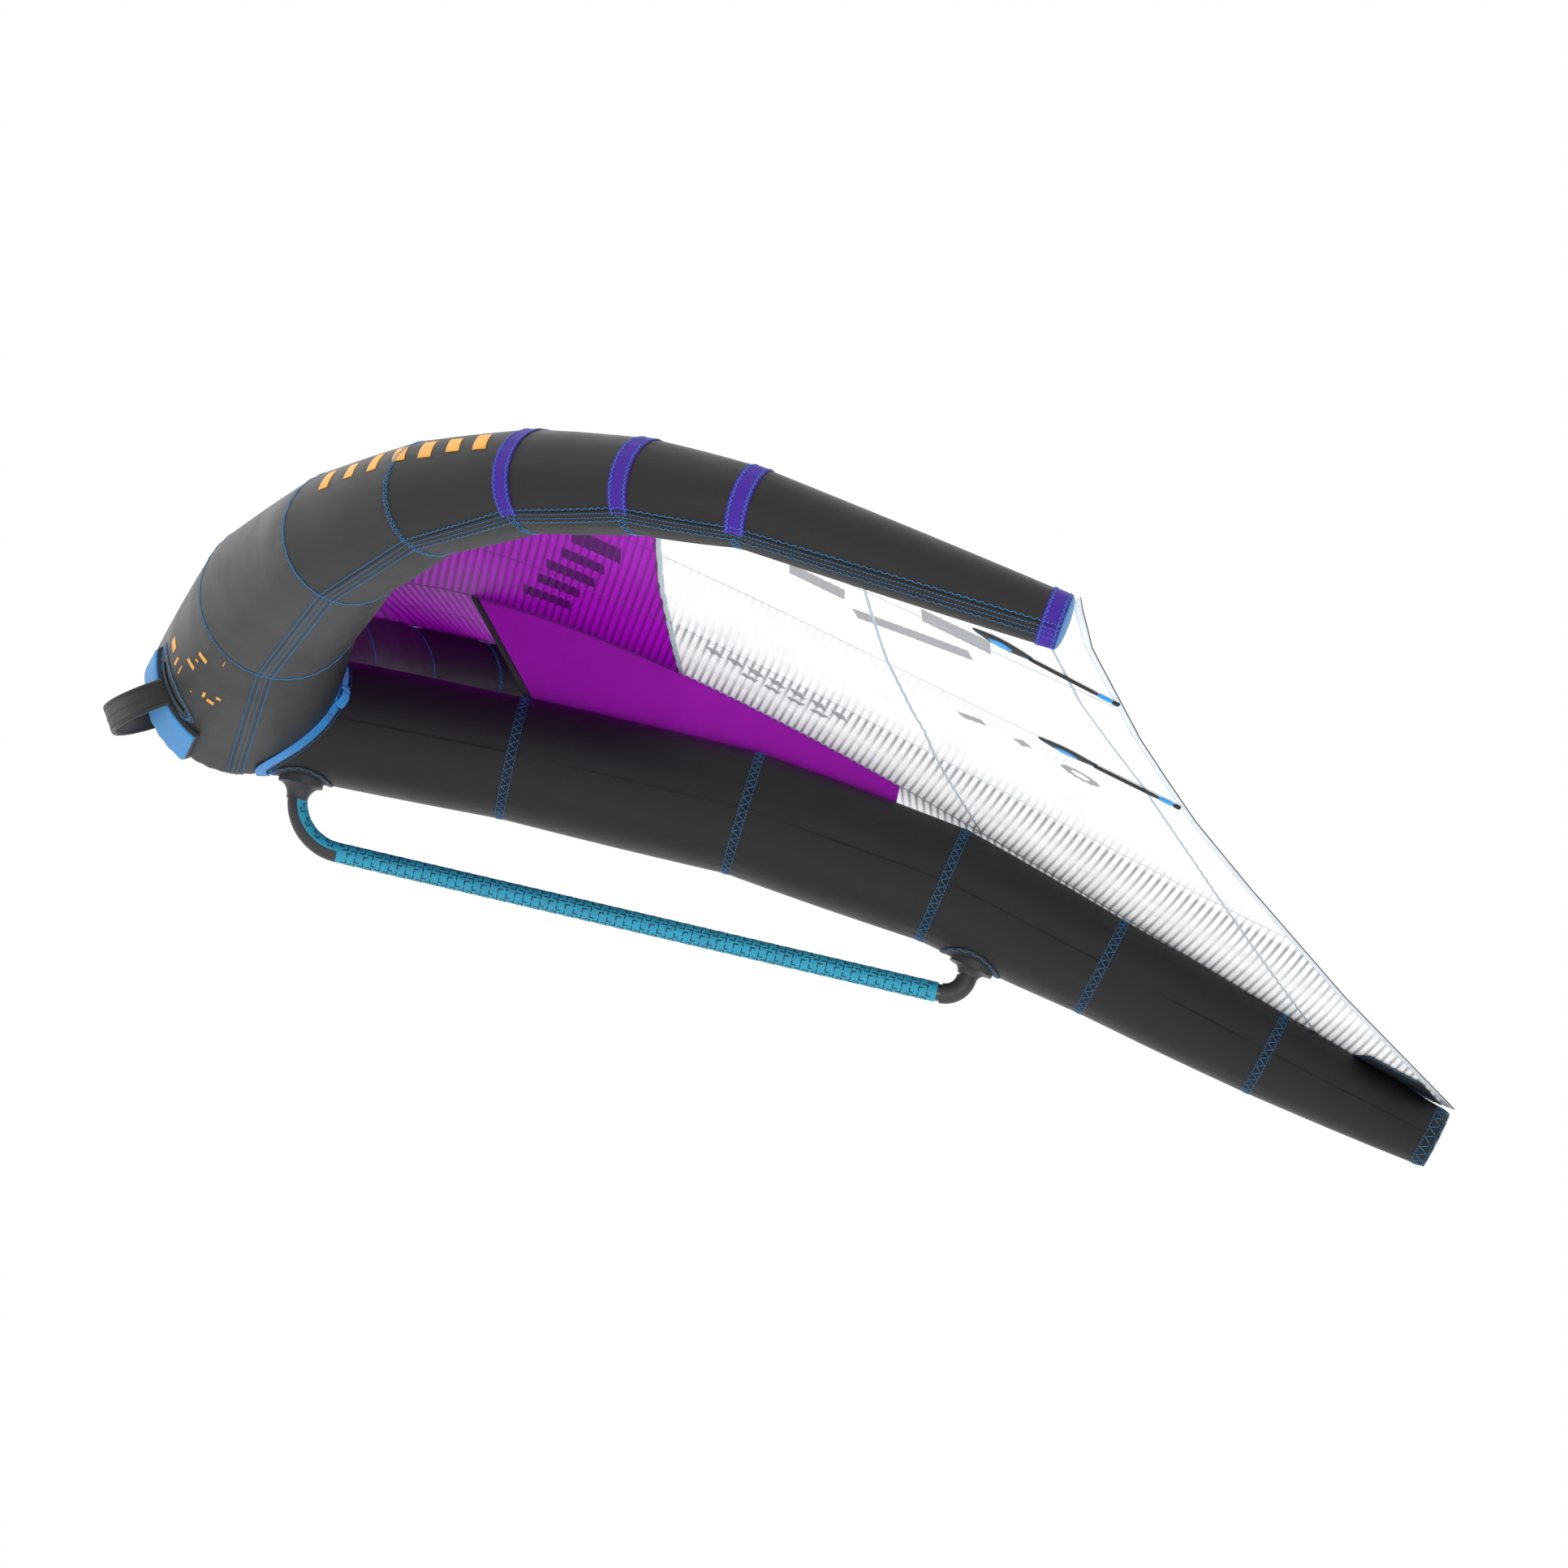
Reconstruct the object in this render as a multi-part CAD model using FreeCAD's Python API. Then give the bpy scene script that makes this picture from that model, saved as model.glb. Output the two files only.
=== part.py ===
import FreeCAD, Part

import math
import os

# Inflatable hand-held wing with a rigid grip boom under its centre strut.
# Frame: millimetres, +X aft along the boom, +Y starboard, +Z from the boom up to the strut,
# origin on the boom's axis at the middle of its straight grip.

V = FreeCAD.Vector

# ---------------------------------------------------------------- driving dimensions

# Leading edge tube: (x, y, z, radius) of each seam ring, from the centre seam to the wing tip.
LE_RINGS = [
    (-637.0, 0.0, 211.0, 135.0),
    (-588.0, 366.0, 297.0, 117.0),
    (-492.0, 763.0, 353.0, 94.0),
    (-378.0, 999.0, 400.0, 78.0),
    (-243.0, 1152.0, 432.0, 69.0),
    (-99.0, 1262.0, 442.0, 64.0),
    (47.0, 1331.0, 437.0, 55.0),
    (477.0, 1404.0, 373.0, 37.0),
]
# The tip ends square to this direction.
TIP_NORMAL = (0.9915, 0.04, -0.124)
# Centre strut tube: (x, z, radius) of each seam ring; the first lies inside the leading edge.
STRUT_RINGS = [
    (-600.0, 181.0, 91.0),
    (-232.0, 192.0, 90.0),
    (112.0, 190.0, 91.5),
    (418.0, 154.0, 88.0),
    (669.0, 90.0, 75.0),
    (928.0, 21.0, 63.5),
    (1197.0, -45.0, 43.5),
]
CASING_WALL = 0.8
BLADDER_GAP = 0.5
BLADDER_WALL = 0.5

# Canopy: where it meets each leading edge ring (degrees up from the ring's inner side), where
# that section reaches the trailing edge, and how far it bulges above its chord line.
SEAT_ANGLES = [60.0, 50.0, 64.0, 60.0, 56.0, 54.0, 52.0, 30.0]
TRAILING_EDGE = [
    (1210.0, 0.0, 5.0),
    (1000.0, 340.0, 92.0),
    (819.0, 680.0, 174.0),
    (717.0, 900.0, 220.0),
    (657.0, 1040.0, 254.0),
    (610.0, 1150.0, 282.0),
    (519.0, 1320.0, 360.0),
    (487.0, 1383.0, 412.0),
]
CAMBER = [141.0, 84.0, 36.0, 16.0, 7.0, 3.0, 1.0, 0.0]
CANOPY_THICKNESS = 1.0
CANOPY_SEAT_GAP = 2.0
PANEL_LINE_X = -26.0
PANEL_LINE_SWEEP = -0.0525
PANEL_JOINT_GAP = 0.4
LAST_FRONT_SECTION = 5
FRONT_PANEL_MINIMUM = 0.02
HEM_WIDTH = 12.0
HEM_THICKNESS = 2.2
SECTION_POINTS = 9

# Vertical web between the strut and the canopy.
WEB_THICKNESS = 1.0
WEB_FRONT_TOP_X = -346.0
WEB_FRONT_FOOT_X = -232.0
WEB_REAR_X = 325.0
BINDING_WIDTH = 9.0
BINDING_THICKNESS = 2.6

# Corner patches at the tail, below the canopy.
GUSSET_START_X = 1046.0
GUSSET_THICKNESS = 1.2
GUSSET_GAP = 1.6

# Tape bands round the outer seams.
BAND_WIDTH = 28.0
BAND_THICKNESS = 1.0
BAND_GAP = 0.3
BAND_RINGS = [4, 5, 6]
CAP_THICKNESS = 3.0

# Battens: head and tail points in plan (x, y) on the port canopy, head first.
BATTENS = [((365.0, 1205.0), (577.0, 1215.0)), ((487.0, 930.0), (695.0, 940.0))]
BATTEN_ROD_RADIUS = 2.6
BATTEN_HEAD_LENGTH = 86.0
BATTEN_HEAD_WIDTH = 22.0
BATTEN_HEAD_THICKNESS = 3.0
BATTEN_GAP = 5.5

# Nose pad, carrying handle and its anchors.
PAD_HALF_WIDTH = 88.0
PAD_THICKNESS = 11.0
PAD_TOP_ANGLE = 184.0
PAD_BOTTOM_ANGLE = 247.0
HANDLE_PIVOT = (-741.7, 158.1)
HANDLE_HALF_SPAN = 104.0
HANDLE_REACH = 89.0
HANDLE_WEBBING_WIDTH = 40.0
HANDLE_WEBBING_THICKNESS = 5.0
HANDLE_PITCH = 32.2
ANCHOR_WIDTH = 50.0
ANCHOR_TOP_ANGLE = 185.0
ANCHOR_BOTTOM_ANGLE = 241.0
ANCHOR_THICKNESS = 1.6

# Strap round the strut where it meets the leading edge, with its buckle on the port side.
STRAP_INNER_OFFSET = 3.0
STRAP_OUTER_OFFSET = 15.0
STRAP_THICKNESS = 2.0
BUCKLE_SIZE = (26.0, 7.0, 24.0)

# Boom.
BOOM_TUBE_RADIUS = 12.8
GRIP_RADIUS = 14.6
GRIP_FRONT_X = -448.0
GRIP_REAR_X = 444.0
FRONT_BEND_RADIUS = 75.0
REAR_BEND_RADIUS = 32.0
REAR_BEND_X = 450.0
FRONT_NECK_Z = 62.0
REAR_NECK_Z = 33.0
FLANGE_RADIUS = 33.0
NECK_RADIUS = 15.6
FLANGE_EDGE = 3.0
FRONT_FLANGE_Z = 84.0
REAR_FLANGE_Z = 44.0
REAR_FLANGE_TILT = 12.0
PATCH_RADIUS = 47.0
PATCH_THICKNESS = 1.4
BOOM_CLEARANCE = 0.5

# Inflation valve on the starboard underside of the leading edge.
VALVE_Y = 172.0
VALVE_DIRECTION = V(0.62, 0.0, -0.78)
VALVE_FLANGE_RADIUS = 30.0
VALVE_BODY_RADIUS = 16.0
VALVE_BORE_RADIUS = 10.0
VALVE_BODY_HEIGHT = 13.0
VALVE_FLANGE_HEIGHT = 2.5
VALVE_CAP_RADIUS = 18.0
VALVE_CAP_HEIGHT = 5.0
VALVE_CAP_GAP = 0.5
VALVE_PIN_RADIUS = 1.6
VALVE_EAR_OFFSET = 21.0

SIDES = {"port": -1, "starboard": 1}


# ---------------------------------------------------------------- small helpers

def mirror(shape):
    """Port to starboard."""
    return shape.mirror(V(0, 0, 0), V(0, 1, 0))


def save(name, shape):
    os.makedirs("parts", exist_ok=True)
    shape.exportStep(os.path.join("parts", name + ".step"))


def ring_wire(centre, normal, radius):
    """A circle in four quarter arcs, the first from the level line, so that lofts don't twist."""
    circle = Part.Circle(centre, normal, radius)
    start = normal.cross(V(0, 0, 1))
    start.normalize()
    circle.XAxis = start
    quarter = math.pi / 2.0
    return Part.Wire([circle.toShape(i * quarter, (i + 1) * quarter) for i in range(4)])


def unit(vector):
    result = V(vector)
    result.normalize()
    return result


def mitre_normals(centres, first=None, last=None):
    """Seam plane directions: each plane halves the turn between its two segments."""
    count = len(centres)
    steps = [unit(centres[i + 1] - centres[i]) for i in range(count - 1)]
    normals = [first if first else steps[0]]
    for i in range(1, count - 1):
        normals.append(unit(steps[i - 1] + steps[i]))
    normals.append(last if last else steps[-1])
    return normals


# ---------------------------------------------------------------- tube lines

LE_CENTRES = [V(x, y, z) for x, y, z, radius in LE_RINGS]
LE_RADII = [ring[3] for ring in LE_RINGS]
LE_NORMALS = mitre_normals(LE_CENTRES, V(0, 1, 0), unit(V(*TIP_NORMAL)))
STRUT_CENTRES = [V(x, 0, z) for x, z, radius in STRUT_RINGS]
STRUT_RADII = [ring[2] for ring in STRUT_RINGS]
STRUT_NORMALS = mitre_normals(STRUT_CENTRES)


def tube_segment(centres, normals, radii, index, offset=0.0):
    """One solid mitred cone between two seam rings, grown by offset."""
    wires = [ring_wire(centres[i], normals[i], radii[i] + offset) for i in (index, index + 1)]
    return Part.makeLoft(wires, True, True)


def tube_shell(centres, normals, radii, index, outer, inner):
    body = tube_segment(centres, normals, radii, index, outer)
    return body.cut(tube_segment(centres, normals, radii, index, inner))


def le_segment(index, offset=0.0):
    return tube_segment(LE_CENTRES, LE_NORMALS, LE_RADII, index, offset)


def strut_segment(index, offset=0.0):
    return tube_segment(STRUT_CENTRES, STRUT_NORMALS, STRUT_RADII, index, offset)


def le_nose(offset=0.0):
    """The two centre segments of the leading edge as one solid, grown by offset."""
    half = le_segment(0, offset)
    return half.fuse(mirror(half))


# ---------------------------------------------------------------- leading edge

def make_leading_edge():
    for index in range(len(LE_RINGS) - 1):
        casing = tube_shell(LE_CENTRES, LE_NORMALS, LE_RADII, index, 0.0, -CASING_WALL)
        save("le_casing_starboard_%d" % (index + 1), casing)
        save("le_casing_port_%d" % (index + 1), mirror(casing))


def make_le_bladder():
    outer = -CASING_WALL - BLADDER_GAP
    halves = []
    for offset in (outer, outer - BLADDER_WALL):
        wires = [ring_wire(c, n, r + offset) for c, n, r in zip(LE_CENTRES, LE_NORMALS, LE_RADII)]
        halves.append(Part.makeLoft(wires, True, True))
    half = halves[0].cut(halves[1])
    save("le_bladder", half.fuse(mirror(half)).removeSplitter())


def make_tip_caps():
    centre = LE_CENTRES[-1]
    normal = LE_NORMALS[-1]
    radius = LE_RADII[-1]
    plate = Part.Face(ring_wire(centre, normal, radius - 0.2)).extrude(normal * CAP_THICKNESS)
    dome = ring_wire(centre + normal * CAP_THICKNESS, normal, radius - 0.2)
    crown = ring_wire(centre + normal * (CAP_THICKNESS + 5.0), normal, radius * 0.6)
    cap = plate.fuse(Part.makeLoft([dome, crown], True, True)).removeSplitter()
    save("tip_cap_starboard", cap)
    save("tip_cap_port", mirror(cap))


def band_sections(index):
    """Centres, normals and radii just before, on and just after a seam ring."""
    half = BAND_WIDTH / 2.0
    places = []
    for other in (index - 1, index, index + 1):
        if other == len(LE_RINGS):
            continue
        reach = (LE_CENTRES[other] - LE_CENTRES[index]).Length
        part = half / reach if reach > 0 else 0.0
        if index == len(LE_RINGS) - 1:
            part *= 2.0
        centre = LE_CENTRES[index] + (LE_CENTRES[other] - LE_CENTRES[index]) * part
        radius = LE_RADII[index] + (LE_RADII[other] - LE_RADII[index]) * part
        normal = unit(LE_NORMALS[index] + (LE_NORMALS[other] - LE_NORMALS[index]) * part)
        places.append((centre, normal, radius))
    return places


def make_bands():
    bands = []
    for index in BAND_RINGS + [len(LE_RINGS) - 1]:
        shells = []
        for offset in (BAND_GAP + BAND_THICKNESS, BAND_GAP):
            wires = [ring_wire(c, n, r + offset) for c, n, r in band_sections(index)]
            shells.append(Part.makeLoft(wires, True, True))
        bands.append(shells[0].cut(shells[1]))
    group = Part.makeCompound(bands)
    save("seam_bands_starboard", group)
    save("seam_bands_port", mirror(group))


# ---------------------------------------------------------------- strut

def make_strut():
    nose = le_nose()
    for index in range(len(STRUT_RINGS) - 1):
        casing = tube_shell(STRUT_CENTRES, STRUT_NORMALS, STRUT_RADII, index, 0.0, -CASING_WALL)
        if index == 0:
            casing = casing.cut(nose)
            casing = max(casing.Solids, key=lambda solid: solid.Volume)
        save("strut_casing_%d" % (index + 1), casing)
    make_strut_bladder(nose)
    make_strut_cap()


def make_strut_bladder(nose):
    outer = -CASING_WALL - BLADDER_GAP
    walls = []
    for offset in (outer, outer - BLADDER_WALL):
        wires = [ring_wire(c, n, r + offset)
                 for c, n, r in zip(STRUT_CENTRES, STRUT_NORMALS, STRUT_RADII)]
        walls.append(Part.makeLoft(wires, True, True))
    tube = walls[0].cut(walls[1]).cut(le_nose(1.0))
    save("strut_bladder", max(tube.Solids, key=lambda solid: solid.Volume))


def make_strut_cap():
    centre = STRUT_CENTRES[-1]
    normal = STRUT_NORMALS[-1]
    radius = STRUT_RADII[-1] - 0.2
    plate = Part.Face(ring_wire(centre, normal, radius)).extrude(normal * CAP_THICKNESS)
    save("strut_end_cap", plate)


# ---------------------------------------------------------------- canopy

def seat_point(index):
    """Where the canopy's front edge sits on a leading edge ring, clear of the casing."""
    normal = LE_NORMALS[index]
    inward = unit(normal.cross(V(0, 0, 1)))
    up = inward.cross(normal)
    angle = math.radians(SEAT_ANGLES[index])
    reach = LE_RADII[index] + CANOPY_SEAT_GAP
    return LE_CENTRES[index] + inward * (reach * math.cos(angle)) + up * (reach * math.sin(angle))


def bulge(part):
    """Height of the section above its chord line, one at its highest point."""
    return math.sqrt(part) * (1.0 - part) ** 1.35 / 0.34


def section_at(index, part):
    """Point of canopy section number index, part 0 at the leading edge, 1 at the trailing edge."""
    front = seat_point(index)
    rear = V(*TRAILING_EDGE[index])
    point = front + (rear - front) * part
    return point + V(0, 0, CAMBER[index] * bulge(part))


def part_at_x(index, x):
    front = seat_point(index)
    return (x - front.x) / (TRAILING_EDGE[index][0] - front.x)


def hem_part(index):
    chord = (V(*TRAILING_EDGE[index]) - seat_point(index)).Length
    return 1.0 - min(HEM_WIDTH / chord, 0.5)


def section_wire(index, start, end, thickness, points):
    """Closed thin profile of one section between two parts of its chord."""
    # Closer points towards the leading edge, where the section turns most.
    steps = [(i / (points - 1.0)) ** 1.5 for i in range(points)]
    line = [section_at(index, start + (end - start) * step) for step in steps]
    half = V(0, 0, thickness / 2.0)
    edges = []
    for sign in (1, -1):
        curve = Part.BSplineCurve()
        curve.interpolate([point + half * sign for point in line])
        edges.append(curve.toShape())
    top, bottom = edges
    rear = Part.LineSegment(line[-1] + half, line[-1] - half).toShape()
    front = Part.LineSegment(line[0] - half, line[0] + half).toShape()
    return Part.Wire([top, rear, bottom, front])


def panel(indices, limits, thickness, points=SECTION_POINTS):
    """Closed solid through the sections: limits gives the start and end part of each."""
    wires = [section_wire(i, limits(i)[0], limits(i)[1], thickness, points) for i in indices]
    return Part.makeLoft(wires, True, True)


def panel_line_x(index):
    return PANEL_LINE_X + PANEL_LINE_SWEEP * TRAILING_EDGE[index][1]


def front_limits(index):
    end = part_at_x(index, panel_line_x(index) - PANEL_JOINT_GAP)
    return 0.0, max(end, FRONT_PANEL_MINIMUM)


def rear_limits(index):
    if index > LAST_FRONT_SECTION:
        return 0.0, hem_part(index)
    chord = TRAILING_EDGE[index][0] - seat_point(index).x
    return front_limits(index)[1] + 2.0 * PANEL_JOINT_GAP / chord, hem_part(index)


def hem_limits(index):
    return hem_part(index), 1.0


def make_canopy():
    front = panel(range(LAST_FRONT_SECTION + 1), front_limits, CANOPY_THICKNESS)
    rear = panel(range(len(LE_RINGS)), rear_limits, CANOPY_THICKNESS)
    hem = panel(range(len(LE_RINGS)), hem_limits, HEM_THICKNESS, 3)
    for name, shape in (("canopy_front", front), ("canopy_rear", rear), ("trailing_edge_hem", hem)):
        save(name + "_starboard", shape)
        save(name + "_port", mirror(shape))


# ---------------------------------------------------------------- web and tail corner

def canopy_height(x):
    """Underside of the canopy on the centre line."""
    return section_at(0, part_at_x(0, x)).z - CANOPY_THICKNESS / 2.0


def strut_top(x):
    """Upper line of the strut casing in the centre plane."""
    for (x0, z0, r0), (x1, z1, r1) in zip(STRUT_RINGS, STRUT_RINGS[1:]):
        if x <= x1:
            part = (x - x0) / (x1 - x0)
            return z0 + r0 + (z1 + r1 - z0 - r0) * part
    return STRUT_RINGS[-1][1] + STRUT_RINGS[-1][2]


def web_outline(front_shift, steps=7):
    """Upper and lower points of the web, its front edge moved aft by front_shift."""
    top_front = WEB_FRONT_TOP_X + front_shift
    foot_front = WEB_FRONT_FOOT_X + front_shift
    top = []
    for i in range(steps):
        x = top_front + (WEB_REAR_X - top_front) * i / (steps - 1.0)
        top.append(V(x, 0, canopy_height(x) - 0.6))
    foot = [V(WEB_REAR_X, 0, strut_top(WEB_REAR_X) + 0.6)]
    ring_x = STRUT_RINGS[2][0]
    foot.append(V(ring_x, 0, strut_top(ring_x) + 0.6))
    foot.append(V(foot_front, 0, strut_top(foot_front) + 0.8))
    return top, foot


def upright_plate(points, thickness):
    """Plate in the centre plane through the given corner points."""
    side = V(0, -thickness / 2.0, 0)
    corners = [point + side for point in points]
    wire = Part.makePolygon(corners + [corners[0]])
    return Part.Face(wire).extrude(V(0, thickness, 0))


def make_web():
    top, foot = web_outline(BINDING_WIDTH + 0.3)
    save("strut_web", upright_plate(top + foot, WEB_THICKNESS))
    front_top, front_foot = web_outline(0.0)
    strip = [front_top[0] - V(0, 0, 0.4), top[0] - V(0.3, 0, 0.4), foot[-1] - V(0.3, 0, 0), front_foot[-1]]
    save("web_binding", upright_plate(strip, BINDING_THICKNESS))


def make_gussets():
    """Dark corner patches under the canopy where it comes down to the strut's end."""
    start = part_at_x(0, GUSSET_START_X)
    share = 0.28
    drop = V(0, 0, -(CANOPY_THICKNESS / 2.0 + GUSSET_GAP))
    inner_front = section_at(0, start)
    inner_rear = section_at(0, hem_part(0) - 0.002)
    outer_start = section_at(1, start)
    outer = inner_front + (outer_start - inner_front) * share * 0.7
    outer_rear_far = section_at(1, hem_part(1) - 0.002)
    outer_rear = inner_rear + (outer_rear_far - inner_rear) * share
    side = V(0, 0.3, 0)
    corners = [inner_front + side, outer, outer_rear, inner_rear + side]
    plate = []
    for shift in (drop, drop - V(0, 0, GUSSET_THICKNESS)):
        plate.append([corner + shift for corner in corners])
    upper = Part.makePolygon([plate[0][0], plate[0][1], plate[0][3], plate[0][0]])
    lower = Part.makePolygon([plate[1][0], plate[1][1], plate[1][3], plate[1][0]])
    first = Part.makeLoft([upper, lower], True, True)
    upper = Part.makePolygon([plate[0][1], plate[0][2], plate[0][3], plate[0][1]])
    lower = Part.makePolygon([plate[1][1], plate[1][2], plate[1][3], plate[1][1]])
    second = Part.makeLoft([upper, lower], True, True)
    gusset = first.fuse(second)
    gusset = gusset.cut(strut_segment(5, 0.3)).cut(strut_segment(4, 0.3))
    gusset = max(gusset.Solids, key=lambda solid: solid.Volume)
    save("tail_gusset_starboard", gusset)
    save("tail_gusset_port", mirror(gusset))


# ---------------------------------------------------------------- battens

def canopy_under(x, y):
    """Underside height of the canopy at a plan position, by blending its sections."""
    for index in range(len(LE_RINGS) - 1):
        rows = []
        for i in (index, index + 1):
            front = seat_point(i)
            rear = V(*TRAILING_EDGE[i])
            part = min(max((x - front.x) / (rear.x - front.x), 0.0), 1.0)
            rows.append((front.y + (rear.y - front.y) * part, section_at(i, part).z))
        (y0, z0), (y1, z1) = rows
        if y0 <= y <= y1:
            return z0 + (z1 - z0) * (y - y0) / (y1 - y0) - CANOPY_THICKNESS / 2.0
    raise ValueError("point outside the canopy")


def make_battens():
    for number, (head, tail) in enumerate(BATTENS, 1):
        start = V(head[0], head[1], canopy_under(*head))
        end = V(tail[0], tail[1], canopy_under(*tail))
        run = unit(end - start)
        side = unit(run.cross(V(0, 0, 1)))
        up = unit(side.cross(run))
        drop = up * -(BATTEN_GAP + BATTEN_ROD_RADIUS)
        rod_start = start + run * (BATTEN_HEAD_LENGTH + 0.3) + drop
        rod = Part.makeCylinder(BATTEN_ROD_RADIUS, (end - start).Length - BATTEN_HEAD_LENGTH - 14.0,
                                rod_start, run)
        head_solid = batten_head(start + drop, run, side, up)
        for shape, name in ((head_solid, "batten_head"), (rod, "batten_rod")):
            save("%s_starboard_%d" % (name, number), shape)
            save("%s_port_%d" % (name, number), mirror(shape))


def batten_head(start, run, side, up):
    """Drop-shaped pocket end: a wide middle that narrows to a point at each end."""
    outline = []
    profile = [(0.0, 0.06), (0.18, 0.30), (0.42, 0.50), (0.70, 0.42), (1.0, 0.14)]
    for sign in (1, -1):
        points = [start + run * (a * BATTEN_HEAD_LENGTH) + side * (sign * w * BATTEN_HEAD_WIDTH)
                  for a, w in profile]
        outline.append(points)
    right, left = outline
    curves = []
    for points in (right, left[::-1]):
        curve = Part.BSplineCurve()
        curve.interpolate(points)
        curves.append(curve.toShape())
    tail = Part.LineSegment(right[-1], left[-1]).toShape()
    nose = Part.LineSegment(left[0], right[0]).toShape()
    face = Part.Face(Part.Wire([curves[0], tail, curves[1], nose]))
    face.translate(up * (-BATTEN_HEAD_THICKNESS / 2.0))
    return face.extrude(up * BATTEN_HEAD_THICKNESS)


# ---------------------------------------------------------------- nose pad and handle

def nose_sector(half_width, top_angle, bottom_angle, reach=320.0):
    """Wedge round the centre line of the leading edge, angles counted from straight aft."""
    x, y, z, radius = LE_RINGS[0]
    middle = (top_angle + bottom_angle) / 2.0
    corners = [V(x, -half_width, z)]
    for angle in (top_angle, middle, bottom_angle):
        turn = math.radians(angle)
        corners.append(V(x + reach * math.cos(turn), -half_width, z + reach * math.sin(turn)))
    wire = Part.makePolygon(corners + [corners[0]])
    return Part.Face(wire).extrude(V(0, 2.0 * half_width, 0))


def make_nose_pad():
    shell = le_nose(PAD_THICKNESS).cut(le_nose(0.2))
    pad = shell.common(nose_sector(PAD_HALF_WIDTH, PAD_TOP_ANGLE, PAD_BOTTOM_ANGLE))
    save("nose_pad", pad)


def handle_loop():
    """Flat webbing bent into an open loop, made level and then pitched down."""
    outer = Part.Ellipse(V(0, 0, 0), HANDLE_HALF_SPAN, HANDLE_REACH)
    inner = Part.Ellipse(V(0, 0, 0), HANDLE_HALF_SPAN - HANDLE_WEBBING_THICKNESS,
                         HANDLE_REACH - HANDLE_WEBBING_THICKNESS)
    ring = Part.Face(Part.Wire([outer.toShape()])).cut(Part.Face(Part.Wire([inner.toShape()])))
    loop = ring.extrude(V(0, 0, HANDLE_WEBBING_WIDTH))
    loop.translate(V(0, 0, -HANDLE_WEBBING_WIDTH / 2.0))
    loop.rotate(V(0, 0, 0), V(0, 0, 1), 90.0)
    keep = Part.makeBox(200, 400, 200, V(-200, -200, -100))
    loop = loop.common(keep)
    loop.rotate(V(0, 0, 0), V(0, 1, 0), -HANDLE_PITCH)
    loop.translate(V(HANDLE_PIVOT[0], 0, HANDLE_PIVOT[1]))
    return loop


def make_handle():
    save("handle_loop", handle_loop().cut(le_nose(PAD_THICKNESS + 0.5)))


def make_anchors():
    """Sewn webbing pads on the leading edge at the two ends of the handle."""
    shell = le_nose(0.2 + ANCHOR_THICKNESS).cut(le_nose(0.2))
    sector = nose_sector(PAD_HALF_WIDTH + 1.0 + ANCHOR_WIDTH, ANCHOR_TOP_ANGLE,
                          ANCHOR_BOTTOM_ANGLE)
    sector = sector.cut(nose_sector(PAD_HALF_WIDTH + 1.0, ANCHOR_TOP_ANGLE - 10.0,
                                     ANCHOR_BOTTOM_ANGLE + 10.0, 400.0))
    save("handle_anchors", shell.common(sector))


# ---------------------------------------------------------------- junction strap

def strut_front_tube(offset):
    """The strut's first segment drawn on through the leading edge, grown by offset."""
    x0, z0, r0 = STRUT_RINGS[0]
    x1, z1, r1 = STRUT_RINGS[1]
    axis = unit(V(x1 - x0, 0, z1 - z0))
    return Part.makeCylinder(r0 + offset, 400, V(x0, 0, z0) - axis * 20.0, axis)


def make_strap():
    shell = le_nose(0.2 + STRAP_THICKNESS).cut(le_nose(0.2))
    collar = strut_front_tube(STRAP_OUTER_OFFSET).cut(strut_front_tube(STRAP_INNER_OFFSET))
    strap = shell.common(collar)
    strap = max(strap.Solids, key=lambda solid: solid.Volume)
    save("junction_strap", strap)
    return strap


def make_buckle():
    """Ladder buckle standing on the port side of the strap."""
    x0, z0, r0 = STRUT_RINGS[0]
    centre = V(-500.0, -(r0 + STRAP_OUTER_OFFSET + 3.0), 216.0)
    length, depth, height = BUCKLE_SIZE
    box = Part.makeBox(length, depth, height, V(-length / 2.0, -depth / 2.0, -height / 2.0))
    slot = Part.makeBox(length * 0.24, depth * 3, height * 0.62, V(-length * 0.33, -depth * 1.5,
                                                                  -height * 0.31))
    second = slot.copy()
    second.translate(V(length * 0.42, 0, 0))
    frame = box.cut(slot).cut(second)
    frame.rotate(V(0, 0, 0), V(0, 1, 0), -62.0)
    frame.rotate(V(0, 0, 0), V(0, 0, 1), -24.0)
    frame.translate(centre)
    frame = frame.cut(le_nose(STRAP_THICKNESS + 0.5)).cut(strut_front_tube(0.5))
    save("strap_buckle", max(frame.Solids, key=lambda solid: solid.Volume))


# ---------------------------------------------------------------- boom

def boom_path():
    """Centre line: down from the front flange, round, along the grip, round, up to the rear."""
    bend = FRONT_BEND_RADIUS
    front_x = GRIP_FRONT_X - bend
    rear = REAR_BEND_RADIUS
    half = math.sqrt(0.5)
    edges = [
        Part.LineSegment(V(front_x, 0, bend + 6.0), V(front_x, 0, bend)).toShape(),
        Part.Arc(V(front_x, 0, bend), V(GRIP_FRONT_X - bend * half, 0, bend - bend * half),
                 V(GRIP_FRONT_X, 0, 0)).toShape(),
        Part.LineSegment(V(GRIP_FRONT_X, 0, 0), V(REAR_BEND_X, 0, 0)).toShape(),
        Part.Arc(V(REAR_BEND_X, 0, 0), V(REAR_BEND_X + rear * half, 0, rear - rear * half),
                 V(REAR_BEND_X + rear, 0, rear)).toShape(),
        Part.LineSegment(V(REAR_BEND_X + rear, 0, rear), V(REAR_BEND_X + rear, 0, rear + 4.0)).toShape(),
    ]
    return edges


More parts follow.
